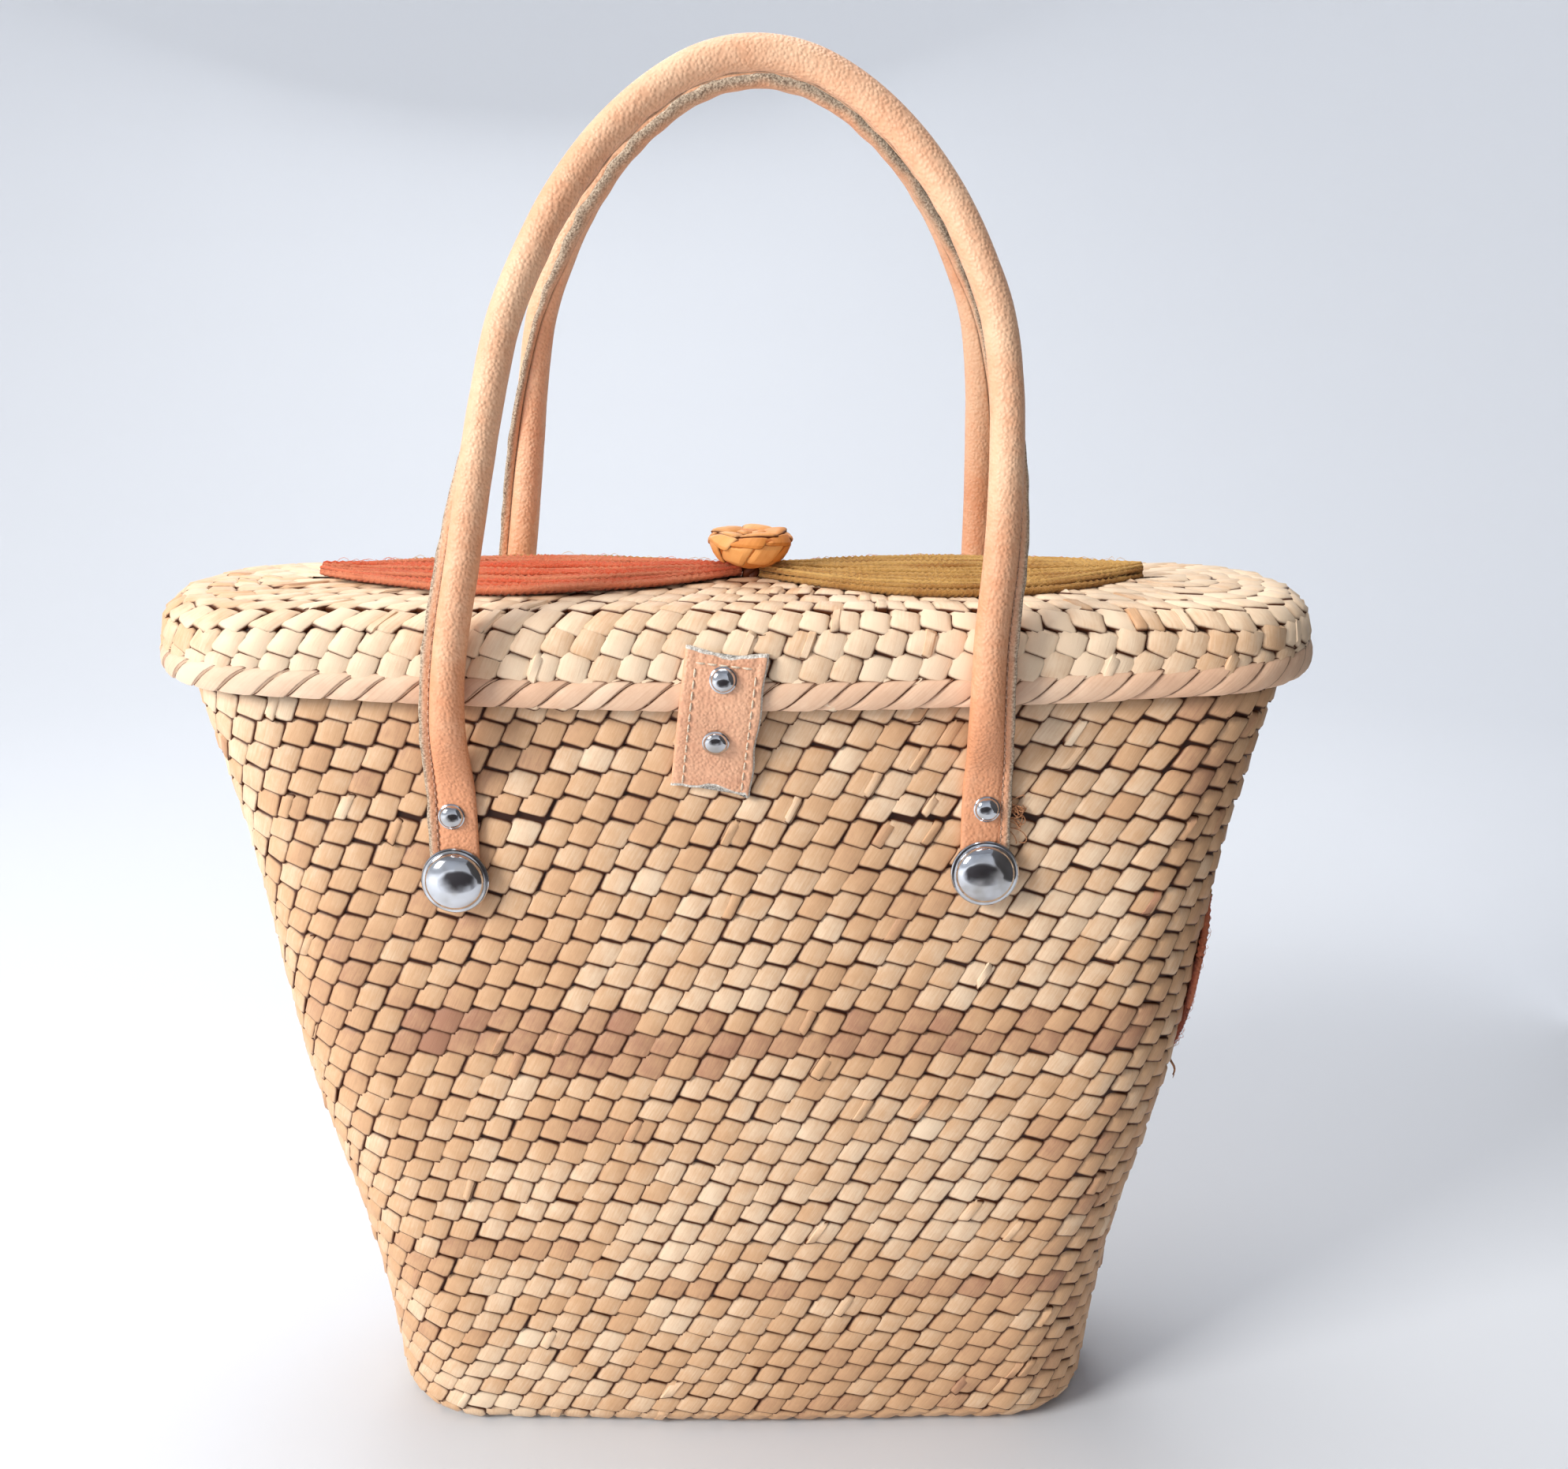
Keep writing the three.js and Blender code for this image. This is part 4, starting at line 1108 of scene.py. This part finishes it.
top_line = tab_top - 2.6 * np.exp(-((a - 0.5) / 3.4) ** 2) + 0.6 * np.cos(a / 2.1)
bottom_line = tab_bottom + 1.9 * np.exp(-((a + 0.5) / 4.2) ** 2) + 0.5 * np.sin(a / 2.2)
bottom_line = bottom_line - 1.4 * (a > half - 0.6)
share = np.linspace(0, 1, tab_rows)
share = (share + 0.5 * (smooth(share, 0, 1) - share))[:, None]
heights = bottom_line + share * (top_line - bottom_line)
across_here = a + 0.25 * np.sin(heights / 3.1) * (a > 12)
across_here = across_here - 0.35 * np.exp(-((heights - 284) / 5) ** 2) * (a > 11)
pillow = 0.28 * np.sin(heights / 4.3 + a / 5) * np.exp(-((a - 3) / 9) ** 2) * (out > 0.5)
end_row = np.minimum(share, 1 - share) < 0.004
out_here = np.where(end_row, out * 0.75, out + pillow)
tab_points = tab_point(across_here, heights, out_here)
ends = np.repeat(np.minimum(share, 1 - share) < 0.02, len(a), axis=1)
tab = mesh_piece(
    "lid_tab_leather", tab_points.reshape(-1, 3), loft_faces(tab_rows, len(a)),
    np.stack([np.broadcast_to(a, heights.shape).ravel(), heights.ravel()], -1),
    {"raw": np.maximum(ends, edge_flags).ravel(), "crease": np.zeros(heights.size)}, 55,
)
tab_leather = leather_finish(
    "tab_leather", (0.97, 0.75, 0.6), (0.82, 0.56, 0.43), (0.72, 0.68, 0.63), (0.97, 0.95, 0.91)
)
tab.data.materials.append(tab_leather)
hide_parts("lid_tab")
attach(tab, "root")

# Stitches run down both sides and along the top, sunk a little into the leather at their ends
stitch_half, tab_stitch_spacing = 1.5, 3.9


def tab_stitch(a, z, upright):
    """Five points along one stitch around a place on the tab's front."""
    sunk, proud = (0.12, 0.42) if upright else (0.05, 0.4)
    points = []
    for s in (-stitch_half, -0.9, 0, 0.9, stitch_half):
        out = tab_half_thickness - sunk + proud * (1 - (s / stitch_half) ** 2)
        points.append(tab_point(np.array(a if upright else a + s), np.array(z + s if upright else z), out))
    return np.stack(points)


tab_seam = []
for a, first in ((seam_left, tab_bottom + 3.2), (seam_right, tab_bottom + 2.6)):
    for z in np.arange(first, tab_top - 5.4, tab_stitch_spacing):
        tab_seam.append(tab_stitch(a, z, True))
for a in np.arange(-8.1, 10.2, tab_stitch_spacing):
    tab_seam.append(tab_stitch(a, tab_top - 4.6, False))
points, faces = tubes(np.array(tab_seam), np.array([0.2, 0.36, 0.42, 0.36, 0.2]), 6)
tab_stitches = mesh_piece("lid_tab_stitches", points, faces)
cream = Finish("cream_thread")
ply = cream.noise(cream.place(), 2400.0, 1, 0.5)
cream.bump(ply, 0.0002, 0.6)
cream_tone = cream.mix(ply.step(0.3, 0.7), (0.84, 0.74, 0.63), (0.95, 0.88, 0.78))
tab_stitches.data.materials.append(cream.set(Base_Color=cream_tone, Roughness=0.6))
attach(tab_stitches, "root")
for level, z in zip(("upper", "lower"), tab_rivet_heights):
    lean = float(tab_depth(z + 2) - tab_depth(z - 2)) / 4
    place = np.array((tab_middle(z), -float(tab_depth(z)) - tab_half_thickness - 0.1, z))
    cap = turned(f"tab_rivet_{level}_cap", rivet_profile, place, (0, -1, -lean))
    cap.data.materials.append(chrome_steel)
    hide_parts(f"tab_rivet_{level}")
    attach(cap, "root")


# Button on the lid: a little bowl plaited from amber-dyed palm, broad folded strips over a
# firm core, pulled down on a short stem of twisted strips.
button_radius, button_height, button_centre = 16.4, 13.5, 5
stem_radius, stem_height = 3.4, 3.4
ridge_climb = np.array(lid_depth / 2 - shoulder_radius + shoulder_length)
button_foot = float(lid_level(ridge_climb)[0]) + 0.6 + stem_height
button_shares = np.array([
    # the bowl's half section as shares of its radius and height, from the foot to the top
    (0, 0), (0.3, 0), (0.56, 0.08), (0.8, 0.3), (0.94, 0.55), (1, 0.78), (0.96, 0.94), (0.8, 1),
    (0.5, 0.98), (0, 0.94),
])
curve_stops = np.stack([
    button_shares[:, 0] * button_radius, 0 * button_shares[:, 0], button_shares[:, 1] * button_height,
], -1)
button_line, button_length = flowing(curve_stops, 90)


def button_surface(place, climb):
    gone = np.linspace(0, button_length, 90)
    r = np.interp(climb, gone, button_line[:, 0])
    z = np.interp(climb, gone, button_line[:, 2]) + button_foot
    angle = place * math.pi / 2 - math.pi / 2
    return np.stack([button_centre + r * np.cos(angle), r * np.sin(angle), z], -1)


button_rows = (
    # climb along the bowl, pads round it, height of the pads, phase
    (8.5, 5, 11.5, 0.1), (16.5, 7, 11.0, 0.45), (24.0, 7, 8.5, 0.0), (31.0, 5, 9.0, 0.3),
    (37.0, 3, 7.0, 0.6),
)
button_random = np.random.default_rng(3)
placed = []
for climb, count, tall, phase in button_rows:
    radius = float(np.interp(climb, np.linspace(0, button_length, 90), button_line[:, 0]))
    quarter = max(radius, 2.2) * math.pi / 2
    for k in range(count):
        placed.append((4 * (k + phase) / count, climb, quarter, 4 * quarter / count, tall))
placed = np.array(placed)
pad = shape_pad(0.45, 0.3)
pad[:, 2] = np.where(pad[:, 2] > -1, pad[:, 2] * 1.5 + 0.45, pad[:, 2])
change = button_random.normal(0, 0.07, (len(placed), 4))
across = np.stack([placed[:, 3] * (1.0 + change[:, 0]), placed[:, 4] * (-0.3 + change[:, 1] * 2)], -1)
up = np.stack([placed[:, 3] * (0.34 + change[:, 2] * 2), placed[:, 4] * (1.06 + change[:, 3])], -1)
lift = button_random.normal(-0.35, 0.15, len(placed))
points, faces = many(lay_pads(button_surface, *placed[:, :3].T, across, up, pad, lift), pad_faces)
core_steps, core_rings, core_depth = 32, 12, 1.3
core_angles = np.linspace(0, 4, core_steps, endpoint=False)
core_levels = [np.full(core_steps, c) for c in np.linspace(4, button_length - 4, core_rings)]
core = np.concatenate([
    button_surface(core_angles, level) - facing(button_surface, core_angles, level) * core_depth
    for level in core_levels
])
tone = np.clip(button_random.normal(0.42, 0.3, len(placed)), 0, 1)
leaf = button_random.uniform(0, 1, len(placed))
button = mesh_piece(
    "plaited_button_palm", np.concatenate([points, core]),
    faces + [[i + len(points) for i in f] for f in loft_faces(core_rings, core_steps)],
    np.concatenate([np.tile((pad[:, :2] + 1) / 2, (len(placed), 1)), np.full((len(core), 2), 0.5)]),
    {
        "tone": np.concatenate([np.repeat(tone, len(pad)), np.ones(len(core))]),
        "leaf": np.concatenate([np.repeat(leaf, len(pad)), np.zeros(len(core))]),
    },
)
button.modifiers.new("round", "SUBSURF").levels = 1
button.modifiers["round"].render_levels = 1
clear_selection()
bpy.context.view_layer.objects.active = button
button.select_set(True)
bpy.ops.object.modifier_apply(modifier="round")
amber_leaf = palm_finish(
    "amber_palm", (1.0, 0.74, 0.45), (0.93, 0.6, 0.29), (0.74, 0.4, 0.15), (0.34, 0.15, 0.04)
)
button.data.materials.append(amber_leaf)
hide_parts("plaited_button")
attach(button, "root")

# The stem is a twist of four strands
stem_count, stem_rings, stem_sides, strand_radius, stem_turn = 4, 9, 8, 1.5, 2.2
t = np.linspace(0, 1, stem_rings)
stem_strands = []
for k in range(stem_count):
    angle = k * math.pi / 2 + t * stem_turn
    stem_strands.append(np.stack([
        button_centre + (stem_radius - strand_radius + 0.1) * np.cos(angle),
        (stem_radius - strand_radius + 0.1) * np.sin(angle),
        button_foot - stem_height - 0.3 + t * (stem_height + 1.2),
    ], -1))
points, faces = tubes(stem_strands, strand_radius, stem_sides)
around_strand = np.tile(np.arange(stem_sides) / stem_sides, stem_count * stem_rings)
along_strand = np.repeat(np.arange(stem_count * stem_rings) / stem_rings, stem_sides)
stem = mesh_piece(
    "button_stem_palm", points, faces, np.stack([around_strand, along_strand], -1),
    {"tone": np.full(len(points), 0.3), "leaf": np.full(len(points), 0.4)},
)
stem.data.materials.append(amber_leaf)
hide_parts("button_stem")
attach(stem, "root")


# Yarn embroidery: petals of thick soft two-ply wool laid side by side lengthwise, gathered
# at both tips, each with a far outline in the other colour. Loose fibres stand off the wool.
petal_half_width, yarn_radius, ply_length = 33, 1.4, 5.2
petal_strands, outline_strands = 23, 3
yarn_random = np.random.default_rng(21)


def lid_height(x, y):
    """Top of the lid at a place seen from above."""
    outline = lid_outline(0.0)
    inset = np.array([front_of(outline, float(v)) for v in np.ravel(x)]).reshape(np.shape(x)) - abs(y)
    climb = np.maximum(inset - shoulder_radius, 0) + shoulder_length
    on_top = lid_level(climb)[0]
    within = np.clip(1 - inset / shoulder_radius, 0, 1)
    on_shoulder = shoulder_height + shoulder_radius * np.sqrt(1 - within**2)
    return np.where(inset > shoulder_radius, on_top, on_shoulder)


def lens(share, fullest=0.5):
    """Half width of a pointed petal along its length, 1 where it is fullest."""
    return np.sin(math.pi * share ** (math.log(0.5) / math.log(fullest))) ** 0.8


def two_ply(angle, ring):
    """Radius round a strand of two twisted plies."""
    return 1 + 0.3 * np.cos(2 * (angle - ring * 1.25 * 2 * math.pi / ply_length))[None]


def fibres_on(lines, count, reach):
    """Thin loose fibres that curl off the strands: four-sided slivers of three stretches."""
    which = yarn_random.integers(0, len(lines), count)
    start = yarn_random.integers(2, lines.shape[1] - 8, count)
    run = yarn_random.integers(2, 6, count)
    first, last = lines[which, start], lines[which, start + run]
    lift = yarn_random.normal(0, 1, (count, 3)) * (1, 1, 0.6) + (0, 0, 0.35)
    t = np.linspace(0, 1, 5)[None, :, None]
    height = yarn_radius + yarn_random.uniform(0.2, reach, count)[:, None, None]
    bow = unit(lift)[:, None] * height * np.sin(t * math.pi * 0.8 + 0.3)
    return first[:, None] * (1 - t) + last[:, None] * t + bow


def wool(name, lines, radii, node, material, fibre_count):
    """Strands of yarn with their loose fibres, as one piece."""
    sides, fibre_radii = 8, np.array([0.05, 0.1, 0.1, 0.08, 0.03])
    underside_shade = np.clip(0.3 + np.sin(np.arange(sides) / sides * 2 * math.pi), 0, 1)
    points, faces = tubes(lines, radii, sides, two_ply)
    fibres, fibre_faces = tubes(fibres_on(np.asarray(lines), fibre_count, 1.7), fibre_radii, 3)
    strand = np.repeat(yarn_random.uniform(0, 1, len(lines)), len(points) // len(lines))
    piece = mesh_piece(
        name, np.concatenate([points, fibres]),
        faces + [[i + len(points) for i in face] for face in fibre_faces], None,
        {
            "strand": np.concatenate([strand, np.ones(len(fibres))]),
            "low": np.concatenate([np.tile(underside_shade, len(points) // sides), np.zeros(len(fibres))]),
        }, 80,
    )
    piece.data.materials.append(material)
    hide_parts(node)
    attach(piece, "root")


def wool_finish(name, light, deep):
    """Dyed wool: fluffy, each strand a little lighter or darker, with painted shade on its lower side."""
    yarn = Finish(name)
    spot = yarn.place()
    fluff = yarn.noise(spot, 1300.0, 4, 0.7)
    clouds = yarn.noise(spot, 90.0, 2, 0.5)
    strand = yarn.attribute("strand")
    colour = yarn.mix((fluff * 0.6 + clouds * 0.5 + strand * 0.35).step(0.3, 1.0), deep, light)
    # Painted shade: the lower side of each strand is darkened
    colour = yarn.mix(yarn.attribute("low") * 0.75, colour, tuple(c * 0.5 for c in deep))
    yarn.bump(fluff, 0.0014, 1.0)
    return yarn.set(
        Base_Color=colour, Roughness=0.95, Sheen_Weight=0.15, Sheen_Roughness=0.6,
        Specular_IOR_Level=0.1,
    )


dyed = {
    "orange_yarn": wool_finish("orange_yarn", (1.0, 0.6, 0.42), (1.0, 0.34, 0.16)),
    "mustard_yarn": wool_finish("mustard_yarn", (0.99, 0.78, 0.44), (0.74, 0.48, 0.19)),
}
rings = 118
share = np.linspace(0.008, 0.992, rings)
for hand, (start, end) in {"left": (-152, 2.4), "right": (7.4, 148)}.items():
    x = start + (end - start) * share
    spread = lens(share)
    strands, radii = [], []
    strand_lift = yarn_random.uniform(-0.3, 1.6, petal_strands)
    for k in range(petal_strands):
        at = (k - (petal_strands - 1) / 2) / (petal_strands / 2)
        wander = 0.5 * np.sin(x / yarn_random.uniform(9, 20) + yarn_random.uniform(0, 6)) * spread
        y = petal_half_width * spread * at + wander
        heap = (1 - spread) * (k % 4) * 1.0 + strand_lift[k]
        radius = yarn_radius * (0.6 + 0.4 * spread) * yarn_random.uniform(0.84, 1.12)
        z = lid_height(x, y) + radius + heap + 0.25 + 0.2 * np.sin(x / 11 + k)
        strands.append(np.stack([x, y, z], -1))
        radii.append(radius)
    fill, edge = ("orange_yarn", "mustard_yarn") if hand == "left" else ("mustard_yarn", "orange_yarn")
    wool(f"yarn_petal_{hand}_wool", strands, np.array(radii), f"yarn_petal_{hand}", dyed[fill], 900)
    strands = []
    for k in range(outline_strands):
        y = petal_half_width * spread + 1.4 + 2.3 * k
        strands.append(np.stack([x, y, lid_height(x, y) + yarn_radius + 0.3 + 0.5 * (k % 2)], -1))
    radii = np.array([yarn_radius * (0.7 + 0.3 * spread)] * outline_strands)
    wool(f"yarn_outline_{hand}_wool", strands, radii, f"yarn_outline_{hand}", dyed[edge], 220)


# The same needlework stands upright on the right end of the basket
end_bottom, end_top, end_centre, end_half_width, end_fullest = 143, 211, -6, 19, 0.62
end_strands, end_outline_strands = 15, 2


def end_place(y, z, lift):
    """A place on the right end of the body, lifted off it."""
    outline = body_outline(z)
    over = np.maximum(abs(y) - outline.straight_y, 0)
    flat = np.sqrt(np.maximum(outline.radius**2 - over**2, 0))
    along = np.clip(y / np.maximum(outline.straight_y, 1), -1, 1)
    bow = outline.bow_end * (1 + np.cos(math.pi * along)) / 2
    round_share = np.clip(over / outline.radius, 0, 0.98)
    lean_out = np.sqrt(1 - round_share**2)
    return np.stack([
        outline.straight_x + flat + np.where(over > 0, 0, bow) + lift * lean_out,
        y + lift * round_share * np.sign(y), z,
    ], -1)


rings = 60
share = np.linspace(0.01, 0.99, rings)
z = end_bottom + (end_top - end_bottom) * share
spread = lens(share, end_fullest)
strands, radii = [], []
for k in range(end_strands):
    at = (k - (end_strands - 1) / 2) / (end_strands / 2)
    radius = yarn_radius * (0.6 + 0.4 * spread)
    y = end_centre + end_half_width * spread * at + 0.3 * np.sin(z / 8 + k)
    strands.append(end_place(y, z, radius + 0.25 + (1 - spread) * (k % 2)))
    radii.append(radius)
wool(
    "yarn_petal_end_wool", strands, np.array(radii), "yarn_petal_end",
    dyed["orange_yarn"], 500,
)
strands = []
for k in range(end_outline_strands):
    y = end_centre + end_half_width * spread + 1.4 + 2.5 * k
    strands.append(end_place(y, z, yarn_radius + 0.3))
radii = np.array([yarn_radius * (0.7 + 0.3 * spread)] * end_outline_strands)
wool(
    "yarn_outline_end_wool", strands, radii, "yarn_outline_end",
    dyed["mustard_yarn"], 160,
)


# Loose ends of the sewing thread: a small brown tuft curls out beside the right strap
tuft_x, tuft_z, thread_radius = 93.0, 258.0, 0.2
tuft_wall = front_of(body_outline(tuft_z), 95)
tuft_random = np.random.default_rng(9)
t = np.linspace(0, 1, 16)
curls = []
for k in range(16):
    bend = tuft_random.uniform(2.5, 6.5)
    reach = tuft_random.uniform(4, 9)
    sway = tuft_random.uniform(-1, 1)
    x = tuft_x + reach * np.sin(t * tuft_random.uniform(1.6, 3.0)) + tuft_random.uniform(-0.5, 0.5)
    level = tuft_z + tuft_random.uniform(-6, 5)
    z_here = level + bend * np.cos(t * tuft_random.uniform(2, 4.5) + sway * 2) * t
    y = -tuft_wall - 0.7 - 2.2 * np.sin(t * math.pi * 0.8) * tuft_random.uniform(0.4, 1)
    curls.append(np.stack([x, y, z_here], -1))
# One more loose end hangs from the foot of the petal on the right end
for k in range(6):
    hang = t * tuft_random.uniform(6, 10)
    y_here = end_centre - 14 + tuft_random.uniform(-2, 2) + 2.5 * np.sin(t * tuft_random.uniform(1, 3))
    off_wall = 0.8 + 3.0 * np.sin(t * tuft_random.uniform(1.6, 2.6))
    curls.append(end_place(y_here, end_bottom + 5 - hang, off_wall))
points, faces = tubes(np.array(curls), thread_radius, 5)
tuft = mesh_piece("thread_tuft", points, faces)
brown = Finish("brown_thread")
ply = brown.noise(brown.place(), 2000.0, 1, 0.5)
brown.bump(ply, 0.0001, 0.4)
brown_tone = brown.mix(ply.step(0.3, 0.7), (0.6, 0.38, 0.24), (0.78, 0.55, 0.38))
tuft.data.materials.append(brown.set(Base_Color=brown_tone, Roughness=0.55))
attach(tuft, "root")


low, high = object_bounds()
